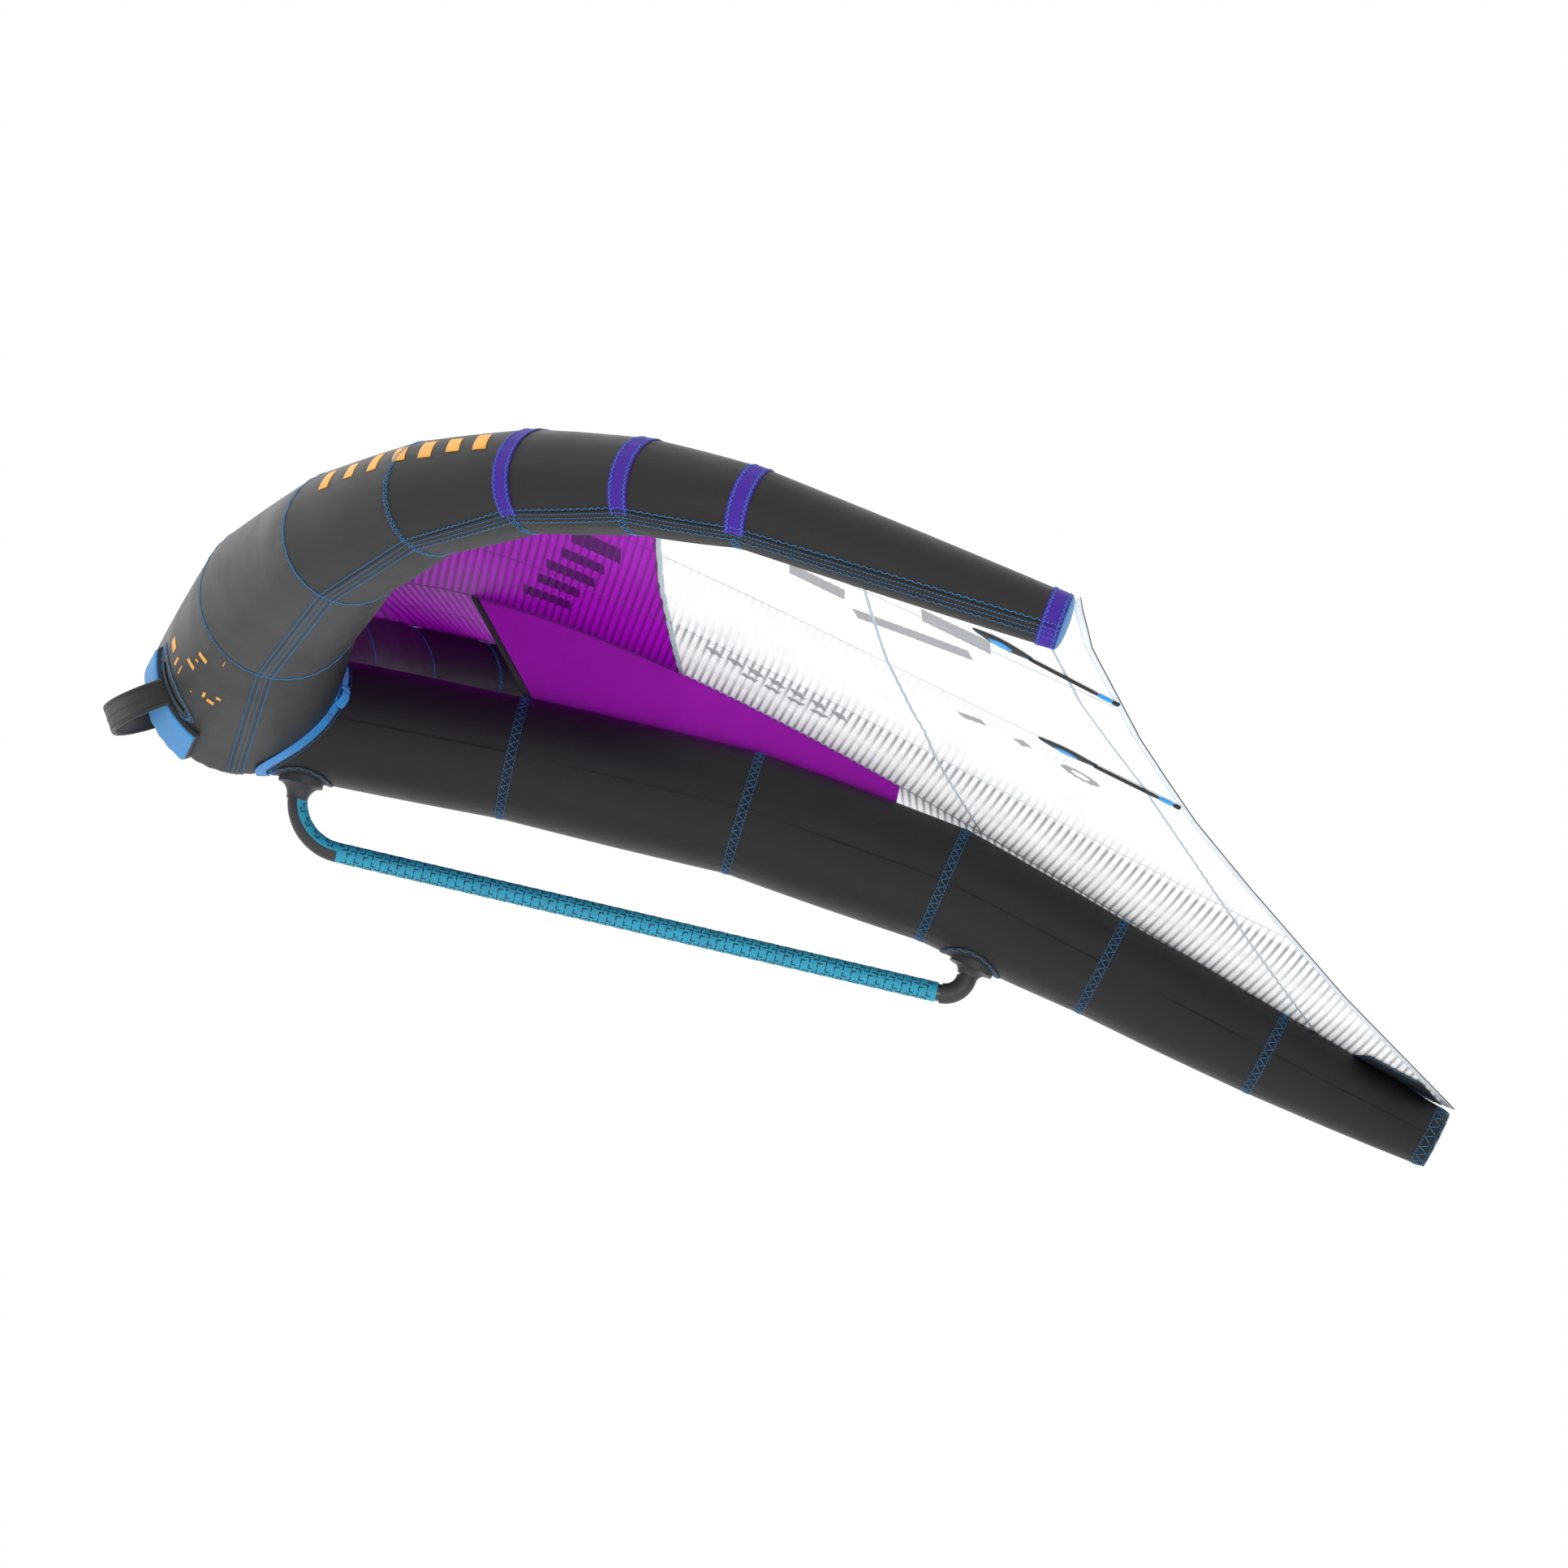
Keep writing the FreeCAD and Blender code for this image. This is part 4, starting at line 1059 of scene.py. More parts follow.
def zip_columns(left, right, left_start, right_start):
    """Faces between two columns whose inner rows share keys."""
    faces = []
    i = j = 0
    while i < len(left) - 1 or j < len(right) - 1:
        a, b = left_start + i, right_start + j
        end_left = i == len(left) - 1
        end_right = j == len(right) - 1
        if not end_left and not end_right:
            last_both = i == len(left) - 2 and j == len(right) - 2
            same = abs(left[i + 1][0] - right[j + 1][0]) < 1e-6
            if same or last_both:
                faces.append((a, b, b + 1, a + 1))
                i += 1
                j += 1
                continue
        if end_right or (not end_left and left[i + 1][0] < right[j + 1][0]):
            faces.append((a, b, a + 1))
            i += 1
        else:
            faces.append((a, b, b + 1))
            j += 1
    return faces


def canopy_panel(name, side, sections, limits, material):
    columns = []
    for section in sections:
        start, end = limits(section)
        columns.append((section, canopy_column(section, start, end)))
    verts = []
    starts = []
    for section, rows in columns:
        starts.append(sum(len(v) for v in verts))
        verts.append(canopy(section, np.array([part for key, part in rows])))
    faces = []
    for k in range(len(columns) - 1):
        faces += zip_columns(columns[k][1], columns[k + 1][1], starts[k], starts[k + 1])
    points = sided(np.concatenate(verts), side)
    faces = faces_out(points, np.broadcast_to(Z_AXIS, points.shape), faces)
    piece = make_piece(name, points, faces, material)
    thicken(piece, CANOPY_THICKNESS, 0.0)
    return piece, faces_area(points, faces)


def faces_area(points, faces):
    total = 0.0
    for face in faces:
        corners = points[list(face)]
        for k in range(1, len(corners) - 1):
            total += np.linalg.norm(np.cross(corners[k] - corners[0], corners[k + 1] - corners[0])) / 2.0
    return total


def hem_part(section):
    chord = np.linalg.norm(along_sections(TRAILING, section) - along_sections(SEATS, section))
    return 1.0 - HEM_WIDTH * 0.6 / chord


LAST_PURPLE_SECTION = 5.2


def front_limits(section):
    return 0.0, float(max(panel_line_part(section), 0.004))


def rear_limits(section):
    start = float(panel_line_part(section)) if section < LAST_PURPLE_SECTION else 0.0
    return max(start, 0.0), hem_part(section)


def last_purple_section():
    """Section number where the panel line reaches the leading edge."""
    steps = np.linspace(3.0, 6.0, 301)
    parts = np.array([panel_line_part(s) for s in steps])
    return float(steps[np.argmax(parts < 0.006)])


def make_canopy(stock):
    end = last_purple_section()
    for name, side in SIDES:
        front, area = canopy_panel("canopy_front_panel_" + name, side,
                                   section_columns(0.0, end), front_limits, stock["front"])
        stand_for("canopy_front_" + name)
        declare_cloth(front, *FRONT_PANEL_CUT, area)
        rear, area = canopy_panel("canopy_rear_panel_" + name, side,
                                  section_columns(0.0, 7.0), rear_limits, stock["rear"])
        stand_for("canopy_rear_" + name)
        declare_cloth(rear, *REAR_PANEL_CUT, area)
        make_hem(name, side, stock)
        make_canopy_seams(name, side, stock)


HEM_THICKNESS = 0.0016
HEM_STITCH_ROWS = (-0.0035, 0.0035)
HEM_STITCH_LIFT = 0.0009
HEM_EDGE_RADIUS = 0.0008


def make_hem(name, side, stock):
    """Folded band along the trailing edge, with its stitches and its dark bound edge."""
    sections = np.array(section_columns(0.0, 7.0))
    parts = np.array([hem_part(s) for s in sections])
    rear = canopy(sections, 1.0)
    chord = rear - canopy(sections, parts, ribs=False)
    path = rear - chord * 0.45
    tangents = unit(np.gradient(path, axis=0))
    ups = unit(np.cross(chord, tangents))
    ups = np.where(ups[:, 2:] < 0, -ups, ups)
    path, ups = sided(path, side), sided(ups, side)
    hem = ribbon("trailing_hem_" + name, path, ups, HEM_WIDTH, HEM_THICKNESS, stock["hem"])
    stand_for("trailing_edge_hem_" + name)
    run = path_run(path)
    declare_cloth(hem, 2.0 * HEM_WIDTH, run[-1], HEM_WIDTH * run[-1])
    across = unit(np.cross(np.gradient(path, axis=0), ups))
    sewing = Sewing("hem_stitching_" + name, stock["grey_thread"])
    for face in (1.0, -1.0):
        for offset in HEM_STITCH_ROWS:
            def line(share):
                at = np.clip(share, 0.0, 1.0) * run[-1]
                over = along_path(at, run, ups) * face
                beside = along_path(at, run, across) * offset
                return along_path(at, run, path) + over * HEM_STITCH_LIFT + beside, over
            sewing.dashes(line, run[-1], 0.004, 0.6)
    sewing.finish()
    edge = path + across * (HEM_WIDTH * 0.5) * np.sign((across * sided(chord, side)).sum())
    tube_piece("leech_cord_" + name, edge, HEM_EDGE_RADIUS, stock["dark_thread"], 8)


STRIP_THICKNESS = 0.0016


def canopy_strip(name, x, y, side, width, material, thickness=STRIP_THICKNESS):
    """Narrow tape that follows the rippled canopy."""
    points, normals = canopy_at(x, y, ribs=True)
    return ribbon(name, sided(points, side), sided(normals, side), width, thickness, material)


# Each seam that runs with the chord: its distance from the centre at x = 0, and its slope.
CHORD_SEAMS = ((0.441, 0.082), (0.893, 0.075), (1.097, 0.178))
CHORD_SEAM_WIDTH = 0.0022
CROSS_SEAM_WIDTH = 0.0052
CENTRE_SEAM_WIDTH = 0.008
PANEL_SEAM_WIDTH = 0.009
PANEL_SEAM_EDGE_WIDTH = 0.0018
PANEL_SEAM_END_Y = 1.26
STRIP_STEP = 0.01

# Each seam across the chord: its corners, aft and outboard.
CROSS_SEAMS = (
    ((0.456, 0.0), (0.361, 0.464), (0.337, 0.618), (0.214, 1.143), (0.176, 1.325)),
    ((0.994, 0.0), (0.786, 0.549), (0.6425, 0.936), (0.469, 1.269), (0.430, 1.345)),
)


def strip_rows(low, high, pitch=RIB_PITCH / 4.0):
    return np.linspace(low, high, max(int((high - low) / pitch), 2))


def chord_ends(y):
    """Front and rear x of the canopy at a distance from the centre line."""
    front = np.interp(y, SEATS[:, 1], SEATS[:, 0])
    rear = np.interp(y, TRAILING[:, 1], TRAILING[:, 0])
    return front + 0.002, rear - HEM_WIDTH


def make_canopy_seams(name, side, stock):
    for number, (start, slope) in enumerate(CHORD_SEAMS, 1):
        x = strip_rows(-0.6, 1.2)
        y = start + slope * x
        front, rear = chord_ends(y)
        split = PANEL_LINE_X + PANEL_LINE_SWEEP * y
        for label, keep, tone in (("front", (x > front) & (x < split), "seam_violet"),
                                  ("rear", (x > np.maximum(front, split)) & (x < rear), "seam_grey")):
            if keep.sum() > 4:
                canopy_strip("chord_seam_%s_%s_%d" % (label, name, number), x[keep], y[keep], side,
                             CHORD_SEAM_WIDTH, stock[tone])
    for number, corners in enumerate(CROSS_SEAMS, 1):
        plan = np.array(corners)
        y = strip_rows(0.0, plan[-1, 1], STRIP_STEP)
        x = np.interp(y, plan[:, 1], plan[:, 0])
        canopy_strip("cross_seam_%s_%d" % (name, number), x, y, side, CROSS_SEAM_WIDTH,
                     stock["seam_grey"])
    y = strip_rows(0.0, PANEL_SEAM_END_Y, STRIP_STEP)
    x = PANEL_LINE_X + PANEL_LINE_SWEEP * y
    keep = canopy_place(x, y)[1] > 0.004
    x, y = x[keep], y[keep]
    canopy_strip("panel_seam_" + name, x + 0.004, y, side, PANEL_SEAM_WIDTH, stock["seam_grey"])
    canopy_strip("panel_seam_edge_" + name, x - 0.0008, y, side, PANEL_SEAM_EDGE_WIDTH,
                 stock["dark_thread"], 0.002)


def make_centre_seam(stock):
    front = SEATS[0][0] + 0.002
    for label, low, high, tone in (("front", front, PANEL_LINE_X, "seam_violet"),
                                   ("rear", PANEL_LINE_X, TRAILING[0][0] - HEM_WIDTH, "seam_grey")):
        x = strip_rows(low, high)
        canopy_strip("centre_seam_" + label, x, np.zeros(x.shape), 1.0, CENTRE_SEAM_WIDTH,
                     stock[tone], 0.0018)


# ---------------------------------------------------------------- casings, tapes and caps

def closing_angle(place):
    return np.radians(np.interp(place, range(len(LE_RINGS)), CLOSING_SEAM_ANGLES))


def closing_line(side, offset, lift=0.0006, first=0.0, last=None):
    """Line beside the closing seam, between two distances from the centre."""
    last = LE.run[-1] if last is None else last

    def line(share):
        place = LE.place_at(first + share * (last - first))
        theta = closing_angle(place) + offset / LE.radius_at(place)
        points, outs = LE.surface(place, theta, lift)
        return sided(points, side), sided(outs, side)
    return line


TIP_TAPE_START = -158.0
CLOSING_ROWS = (-0.0033, 0.0033)
CLOSING_ZIGZAGS = (-0.0105, 0.0105)
CLOSING_SWING = 0.0014
CLOSING_TAPE_WIDTH = 0.014
CLOSING_TAPE_THICKNESS = 0.0008

# Zigzags along the closing seam are close up to this ring and open beyond it.
DENSE_ZIGZAG_END = 3
DENSE_PERIOD = 0.0052
OPEN_PERIOD = 0.0105
DENSE_THREAD_RADIUS = THREAD_RADIUS * 0.6

# Seams round the untaped rings: ring, half width and zigzag period.
PLAIN_RING_SEAMS = ((1, 0.0017, 0.0052), (2, 0.0017, 0.0052), (3, 0.0036, 0.008))
SEWING_LIFT = 0.0008


def make_leading_edge(stock):
    for name, side in SIDES:
        for segment in range(len(LE_RINGS) - 1):
            node = "le_casing_%s_%d" % (name, segment + 1)
            skin = skin_segment("le_skin_%s_%d" % (name, segment + 1), LE, segment, side, stock["casing"])
            stand_for(node)
        make_leading_edge_sewing(name, side, stock)
        make_tapes(name, side, stock)
        make_tip_cap(name, side, stock)
        make_closing_tape(name, side, stock)
        make_marks(name, side, stock)


def make_closing_tape(name, side, stock):
    """Doubled cloth under the closing seam."""
    line = closing_line(side, 0.0, 0.0003)
    points, outs = line(np.linspace(0.001, 0.999, 260))
    ribbon("closing_tape_" + name, points, outs, CLOSING_TAPE_WIDTH, CLOSING_TAPE_THICKNESS,
           stock["casing"])


def make_leading_edge_sewing(name, side, stock):
    sewing = Sewing("le_stitching_" + name, stock["thread"])
    length = LE.run[-1]
    for offset in CLOSING_ROWS:
        sewing.dashes(closing_line(side, offset, SEWING_LIFT), length)
    change = LE.run[DENSE_ZIGZAG_END]
    for offset in CLOSING_ZIGZAGS:
        for first, last, period, thread in ((0.0, change, DENSE_PERIOD, DENSE_THREAD_RADIUS),
                                            (change, length, OPEN_PERIOD, THREAD_RADIUS)):
            rails = [closing_line(side, offset + swing, SEWING_LIFT, first, last)
                     for swing in (-CLOSING_SWING, CLOSING_SWING)]
            sewing.zigzag(rails[0], rails[1], last - first, period, thread)
    for ring, half, period in PLAIN_RING_SEAMS:
        first = CLOSING_SEAM_ANGLES[ring]
        ladder_seam(sewing, LE, ring, side, first, first + 360.0, 0.0, half, period)
    for ring in TAPED_RINGS:
        first = CLOSING_SEAM_ANGLES[ring]
        ladder_seam(sewing, LE, ring, side, first, SEAT_ANGLES[ring])
        make_tape_sewing(sewing, ring, side, first, SEAT_ANGLES[ring] - 360.0)
    tip = len(LE_RINGS) - 1
    make_tape_sewing(sewing, tip, side, TIP_TAPE_START, TIP_TAPE_START + 360.0, -TAPE_WIDTH / 2.0)
    sewing.finish()


TAPE_ZIGZAG_INSET = 0.004
TAPE_ZIGZAG_SWING = 0.0017
TAPE_ZIGZAG_PERIOD = 0.0062
TAPE_SEWING_LIFT = 0.0013


def make_tape_sewing(sewing, ring, side, first, last, centre=0.0):
    """Zigzags along both edges of a tape."""
    length = abs(math.radians(last - first)) * LE.radii[ring]
    for edge in (-1.0, 1.0):
        middle = centre + edge * (TAPE_WIDTH / 2.0 - TAPE_ZIGZAG_INSET)
        rails = [ring_line(LE, ring, middle + swing, side, first, last, TAPE_SEWING_LIFT)
                 for swing in (-TAPE_ZIGZAG_SWING, TAPE_ZIGZAG_SWING)]
        sewing.zigzag(rails[0], rails[1], length, TAPE_ZIGZAG_PERIOD)


# Section of a seam tape: share of its width, and share of its thickness above the casing.
TAPE_SECTION = ((-0.5, 0.0), (-0.49, 0.8), (-0.46, 1.0), (-0.2, 1.0), (0.0, 1.0), (0.2, 1.0),
                (0.46, 1.0), (0.49, 0.8), (0.5, 0.0), (0.25, -0.2), (0.0, -0.2), (-0.25, -0.2))
TAPE_LIFT = 0.0003
TAPE_THICKNESS = 0.0009


def tape_band(ring, side, first, last, centre):
    """Curved band over a ring, as rows round the tube of one closed section."""
    rows = []
    for share, height in TAPE_SECTION:
        lift = TAPE_LIFT + TAPE_THICKNESS * height
        rows.append(tape_row(ring, side, centre + TAPE_WIDTH * share, first, last, lift))
    return np.stack(rows, axis=1)


def tape_row(ring, side, offset, first, last, lift):
    line = ring_line(LE, ring, offset, side, first, last, lift)
    number = int(abs(last - first) / 360.0 * LE.puckers[ring] * 5) + 24
    return line(np.linspace(0.0, 1.0, number))[0]


def make_tapes(name, side, stock):
    parts = []
    lies = []
    tip = len(LE_RINGS) - 1
    ranges = [(ring, CLOSING_SEAM_ANGLES[ring] - 1.0, SEAT_ANGLES[ring] - 360.0, 0.0)
              for ring in TAPED_RINGS]
    ranges.append((tip, TIP_TAPE_START, TIP_TAPE_START + 359.0, -TAPE_WIDTH / 2.0))
    for ring, first, last, centre in ranges:
        points = tape_band(ring, side, first, last, centre)
        rows, columns = points.shape[:2]
        parts.append(closed_tube(points, points - points.mean(axis=1, keepdims=True)))
        along = np.linspace(0.0, 1.0, rows)[:, None] * abs(math.radians(last - first)) * LE.radii[ring]
        across = np.linspace(0.0, 2.0 * TAPE_WIDTH, columns)[None, :]
        lies.append(np.stack(np.broadcast_arrays(along, across), axis=-1).reshape(-1, 2))
    piece = join_parts("seam_tapes_" + name, parts, stock["tape"], cloth=np.concatenate(lies))
    stand_for("seam_bands_" + name)
    length = sum(abs(math.radians(last - first)) * LE.radii[ring] for ring, first, last, centre in ranges)
    declare_by_mesh(piece, length, closed=True)


DOME_COLUMNS = 64
DOME_RINGS = (1.0, 0.985, 0.95, 0.88, 0.76, 0.6, 0.42, 0.22, 0.06)
DOME_RIPPLE = 0.0006
CAP_INSET = 0.0003
CAP_DEPTH = 0.0005
TIP_CAP_RISE = 0.0075
STRUT_CAP_RISE = 0.003


def dome(name, centre, normal, radius, height, material):
    """Cloth disc blown out into a shallow dome."""
    normal = unit(normal)
    across = unit(np.cross(normal, Z_AXIS))
    up = np.cross(across, normal)
    turn = np.linspace(0.0, 2.0 * math.pi, DOME_COLUMNS, endpoint=False)
    out = across * np.cos(turn)[:, None] + up * np.sin(turn)[:, None]
    rows = []
    for share in DOME_RINGS:
        rise = height * math.sqrt(max(1.0 - share * share, 0.0))
        ripple = DOME_RIPPLE * share ** 6 * np.cos(turn * DOME_COLUMNS / 4.0)
        rows.append(centre + out * (radius * share) + normal * (rise + ripple)[:, None])
    points = np.stack(rows)
    faces = grid_faces(len(rows), DOME_COLUMNS, True)
    faces.append(tuple(range((len(rows) - 1) * DOME_COLUMNS, len(rows) * DOME_COLUMNS)))
    outs = np.broadcast_to(normal, points.shape)
    piece = make_piece(name, points.reshape(-1, 3), faces_out(points, outs, faces), material)
    thicken(piece, CLOTH_THICKNESS)
    return piece


def make_tip_cap(name, side, stock):
    centre = sided(LE.centres[-1] - LE.normals[-1] * CAP_DEPTH, side)
    normal = sided(LE.normals[-1], side)
    cap = dome("tip_cap_cloth_" + name, centre, normal, LE.radii[-1] - CAP_INSET, TIP_CAP_RISE,
               stock["blue_cloth"])
    stand_for("tip_cap_" + name)
    declare_by_mesh(cap, 2.0 * LE.radii[-1], 2.0 * LE.radii[-1])


# Printed bars on the leading edge: place, angle in degrees, half length, half width and slant.
LE_MARKS = [(2.30 + 0.235 * i, 150.0 - 2.0 * i, 0.012, 0.019 - 0.003 * (i % 2), 0.7) for i in range(7)]
LE_MARKS += [(0.50, 196.0, 0.013, 0.009, 0.1), (0.50, 207.0, 0.016, 0.0022, 0.1),
             (0.51, 213.5, 0.016, 0.0011, 0.1), (0.66, 219.0, 0.006, 0.009, 0.3),
             (0.74, 222.0, 0.003, 0.003, 0.3), (0.81, 225.0, 0.006, 0.009, 0.3),
             (0.50, 229.0, 0.0015, 0.0015, 0.0), (0.58, 238.0, 0.009, 0.0022, 0.1),
             (0.57, 244.0, 0.005, 0.006, 0.3), (0.64, 248.0, 0.004, 0.004, 0.3),
             (0.93, 241.0, 0.009, 0.0006, 0.2)]


MARK_ROWS = 7
MARK_THICKNESS = 0.0003


def mark_patch(side, place, angle, along, around, slant):
    """Thin printed bar on the leading edge: half sizes in metres, slant as a share of its length."""
    steps = np.linspace(-1.0, 1.0, MARK_ROWS)
    v, w = np.meshgrid(steps, steps, indexing="ij")
    spot = place + along * (v + slant * w) / LE.lengths[int(place)]
    theta = math.radians(angle) + around * w / LE.radius_at(place)
    points, outs = LE.surface(spot, theta, 0.0005)
    points, outs = sided(points, side), sided(outs, side)
    return points, faces_out(points, outs, grid_faces(MARK_ROWS, MARK_ROWS, False))


def make_marks(name, side, stock):
    parts = [mark_patch(side, *mark) for mark in LE_MARKS]
    piece = join_parts("le_marks_" + name, parts, stock["print"])
    thicken(piece, MARK_THICKNESS)


# Seams round the strut: half width and zigzag period, and the last one's distance from the end.
STRUT_SEAM = (0.0062, 0.013)
STRUT_END_SEAM = (0.0085, 0.015)
STRUT_END_SEAM_INSET = 0.012


def make_strut(stock):
    for segment in range(len(STRUT_RINGS) - 1):
        start = junction_start if segment == 0 else None
        node = "strut_casing_%d" % (segment + 1)
        skin = skin_segment("strut_skin_%d" % (segment + 1), STRUT, segment, 1.0, stock["casing"], start)
        stand_for(node)
    sewing = Sewing("strut_stitching", stock["thread"])
    for ring in range(1, len(STRUT_RINGS) - 1):
        ladder_seam(sewing, STRUT, ring, 1.0, 90.0, 450.0, 0.0, *STRUT_SEAM)
    last = len(STRUT_RINGS) - 1
    ladder_seam(sewing, STRUT, last, 1.0, 90.0, 450.0, -STRUT_END_SEAM_INSET, *STRUT_END_SEAM)
    make_junction_sewing(sewing)
    sewing.finish()
    normal = STRUT.normals[-1]
    cap = dome("strut_cap_cloth", STRUT.centres[-1] - normal * CAP_DEPTH, normal,
               STRUT.radii[-1] - CAP_INSET, STRUT_CAP_RISE, stock["grey_cap"])
    stand_for("strut_end_cap")
    declare_by_mesh(cap, 2.0 * STRUT.radii[-1], 2.0 * STRUT.radii[-1])


def junction_start(theta):
    return junction_place(theta, 0.0, -0.001)


def junction_line(offset):
    """Line round the strut at a distance behind where it leaves the leading edge."""
    def line(share):
        theta = 2.0 * math.pi * share + math.pi / 2.0
        place = junction_place(theta) + offset / STRUT.lengths[0]
        return STRUT.surface(place, theta, SEWING_LIFT)
    return line


# Rows of sewing behind the junction, and the junction's length as a share of the strut's girth.
JUNCTION_ROWS = (0.0025, 0.0155)
JUNCTION_ZIGZAG = (0.0035, 0.0135)
JUNCTION_PERIOD = 0.0115
JUNCTION_STRETCH = 1.15


def make_junction_sewing(sewing):
    length = 2.0 * math.pi * STRUT.radii[0] * JUNCTION_STRETCH
    for offset in JUNCTION_ROWS:
        sewing.dashes(junction_line(offset), length)
    left, right = [junction_line(offset) for offset in JUNCTION_ZIGZAG]
    sewing.zigzag(left, right, length, JUNCTION_PERIOD)


FILM_GAP = 0.0012
FILM_COLUMNS = 48
FILM_END = 1.02


def make_bladders(stock):
    """Film tubes inside the casings."""
    inset = -CLOTH_THICKNESS - FILM_GAP
    places = np.linspace(0.0, len(LE_RINGS) - FILM_END, 50)
    parts = [film_part(places, side, inset) for side in (-1.0, 1.0)]
    piece = join_parts("le_bladder_film", parts, stock["bladder"])
    thicken(piece, FILM_THICKNESS)
    stand_for("le_bladder")
    declare_by_mesh(piece, 2.0 * LE.run[-1])
    theta = np.linspace(0.0, 2.0 * math.pi, FILM_COLUMNS, endpoint=False)
    first = junction_place(theta, inset, 0.004)
    steps = np.linspace(0.0, 1.0, 44)[:, None]
    places = first[None, :] + (len(STRUT_RINGS) - FILM_END - first[None, :]) * steps
    points, outs = STRUT.surface(places, theta[None, :], inset)
    film = grid_piece("strut_bladder_film", points, outs, stock["bladder"], True, FILM_THICKNESS)
    stand_for("strut_bladder")
    declare_by_mesh(film, STRUT.run[-1])


def film_part(places, side, inset):
    theta = np.linspace(0.0, 2.0 * math.pi, FILM_COLUMNS, endpoint=False)
    points, outs = LE.surface(places[:, None], theta[None, :], inset)
    points, outs = sided(points, side), sided(outs, side)
    return points, faces_out(points, outs, grid_faces(len(places), FILM_COLUMNS, True))


# ---------------------------------------------------------------- web, binding and gussets

WEB_FRONT_TOP_X = -0.346
WEB_FOOT_X = -0.232
WEB_REAR_X = 0.325
BINDING_WIDTH = 0.009
BINDING_THICKNESS = 0.0024
WEB_MEAN_LENGTH = 0.6
WEB_SLACK = 0.012
WEB_ROWS = 180
WEB_COLUMNS = 28
BINDING_ROWS = 60
GUSSET_START_X = 1.046
GUSSET_OUTER_Y = 0.075
GUSSET_LENGTH = 0.160
GUSSET_DROP = 0.0024


def strut_top(x):
    tops = np.array([(ring[0], ring[2] + ring[3]) for ring in STRUT_RINGS])
    return np.interp(x, tops[:, 0], tops[:, 1])


def canopy_underside(x):
    section = np.zeros(np.shape(x))
    part = (np.asarray(x) - SEATS[0][0]) / (TRAILING[0][0] - SEATS[0][0])
    return canopy(section, part, 0.0, False)[..., 2]


def web_point(share, height):
    """share runs aft, height from the strut to the canopy."""
    foot_x = WEB_FOOT_X + (WEB_REAR_X - WEB_FOOT_X) * share
    top_x = WEB_FRONT_TOP_X + (WEB_REAR_X - WEB_FRONT_TOP_X) * share
    foot = np.stack([foot_x, np.zeros_like(foot_x), strut_top(foot_x) - 0.0005], axis=-1)
    top = np.stack([top_x, np.zeros_like(top_x), canopy_underside(top_x) - 0.0003], axis=-1)
    point = foot + (top - foot) * height[..., None]
    slack = np.sin(math.pi * height) * np.sin(math.pi * np.clip(share, 0.0, 1.0))
    tall = np.linalg.norm(top - foot, axis=-1)
    point[..., 1] += WEB_SLACK * slack * tall
    edge = np.exp(-height * tall / 0.02)
    point[..., 1] += 0.0004 * edge * np.cos(foot_x * 2.0 * math.pi / 0.019)
    return point


def make_web(stock):
    share, height = np.meshgrid(np.linspace(0.0, 1.0, WEB_ROWS), np.linspace(0.0, 1.0, WEB_COLUMNS),
                                indexing="ij")
    points = web_point(share, height)
    side = np.broadcast_to(np.array([0.0, -1.0, 0.0]), points.shape)
    web = grid_piece("strut_web_cloth", points, side, stock["web"], False, CANOPY_THICKNESS)
    stand_for("strut_web")
    area = faces_area(points.reshape(-1, 3), grid_faces(WEB_ROWS, WEB_COLUMNS, False))
    declare_cloth(web, *WEB_CUT, area)
    height = np.linspace(0.0, 1.0, BINDING_ROWS)
    path = web_point(np.full(BINDING_ROWS, BINDING_WIDTH * 0.45 / WEB_MEAN_LENGTH), height)
    binding = ribbon("web_front_binding", path, np.broadcast_to([0.0, -1.0, 0.0], path.shape),
                     BINDING_WIDTH, BINDING_THICKNESS, stock["black_cloth"])
    stand_for("web_binding")
    sewing = Sewing("web_stitching", stock["dark_thread"])
    for face in (-1.0, 1.0):
        for shift in (0.22, 0.72):
            def line(share):
                at = np.full(share.shape, BINDING_WIDTH * shift / WEB_MEAN_LENGTH)
                points = web_point(at, np.clip(share, 0.0, 1.0))
                out = np.broadcast_to(np.array([0.0, face, 0.0]), points.shape)
                return points + out * 0.0014, out
            sewing.dashes(line, 0.15, 0.004, 0.65, 0.0004)
    sewing.finish()


def gusset_point(share, across):
    """share runs aft to the hem; across goes from the centre line outboard under the canopy."""
    x = GUSSET_START_X + (TRAILING[0][0] - HEM_WIDTH - 0.004 - GUSSET_START_X) * share
    reach = GUSSET_OUTER_Y * np.minimum(share * 2.2, 1.0)
    y = reach * across
    x_far = x - 0.55 * y
    section, part = canopy_place(x_far, np.maximum(y, 0.0005))
    return canopy(section, part, GUSSET_DROP, False)


def make_gussets(stock):
    share, across = np.meshgrid(np.linspace(0.02, 1.0, 24), np.linspace(0.0, 1.0, 12), indexing="ij")
    top = gusset_point(share, across)
    for name, side in SIDES:
        points = sided(top, side)
        piece = grid_piece("tail_gusset_cloth_" + name, points,
                           np.broadcast_to(Z_AXIS, points.shape), stock["gusset"], False, CLOTH_THICKNESS)
        stand_for("tail_gusset_" + name)
        declare_by_mesh(piece, GUSSET_LENGTH)
        sewing = Sewing("gusset_stitching_" + name, stock["thread"])
        for edge in (0.06, 0.93):
            def line(along):
                along = np.clip(along, 0.0, 1.0)
                spots = gusset_point(0.05 + 0.9 * along, np.full(along.shape, edge))
                spots[..., 2] -= 0.0010
                return sided(spots, side), np.broadcast_to(-Z_AXIS, spots.shape)
            sewing.dashes(line, 0.15)
        sewing.finish()


# ---------------------------------------------------------------- battens

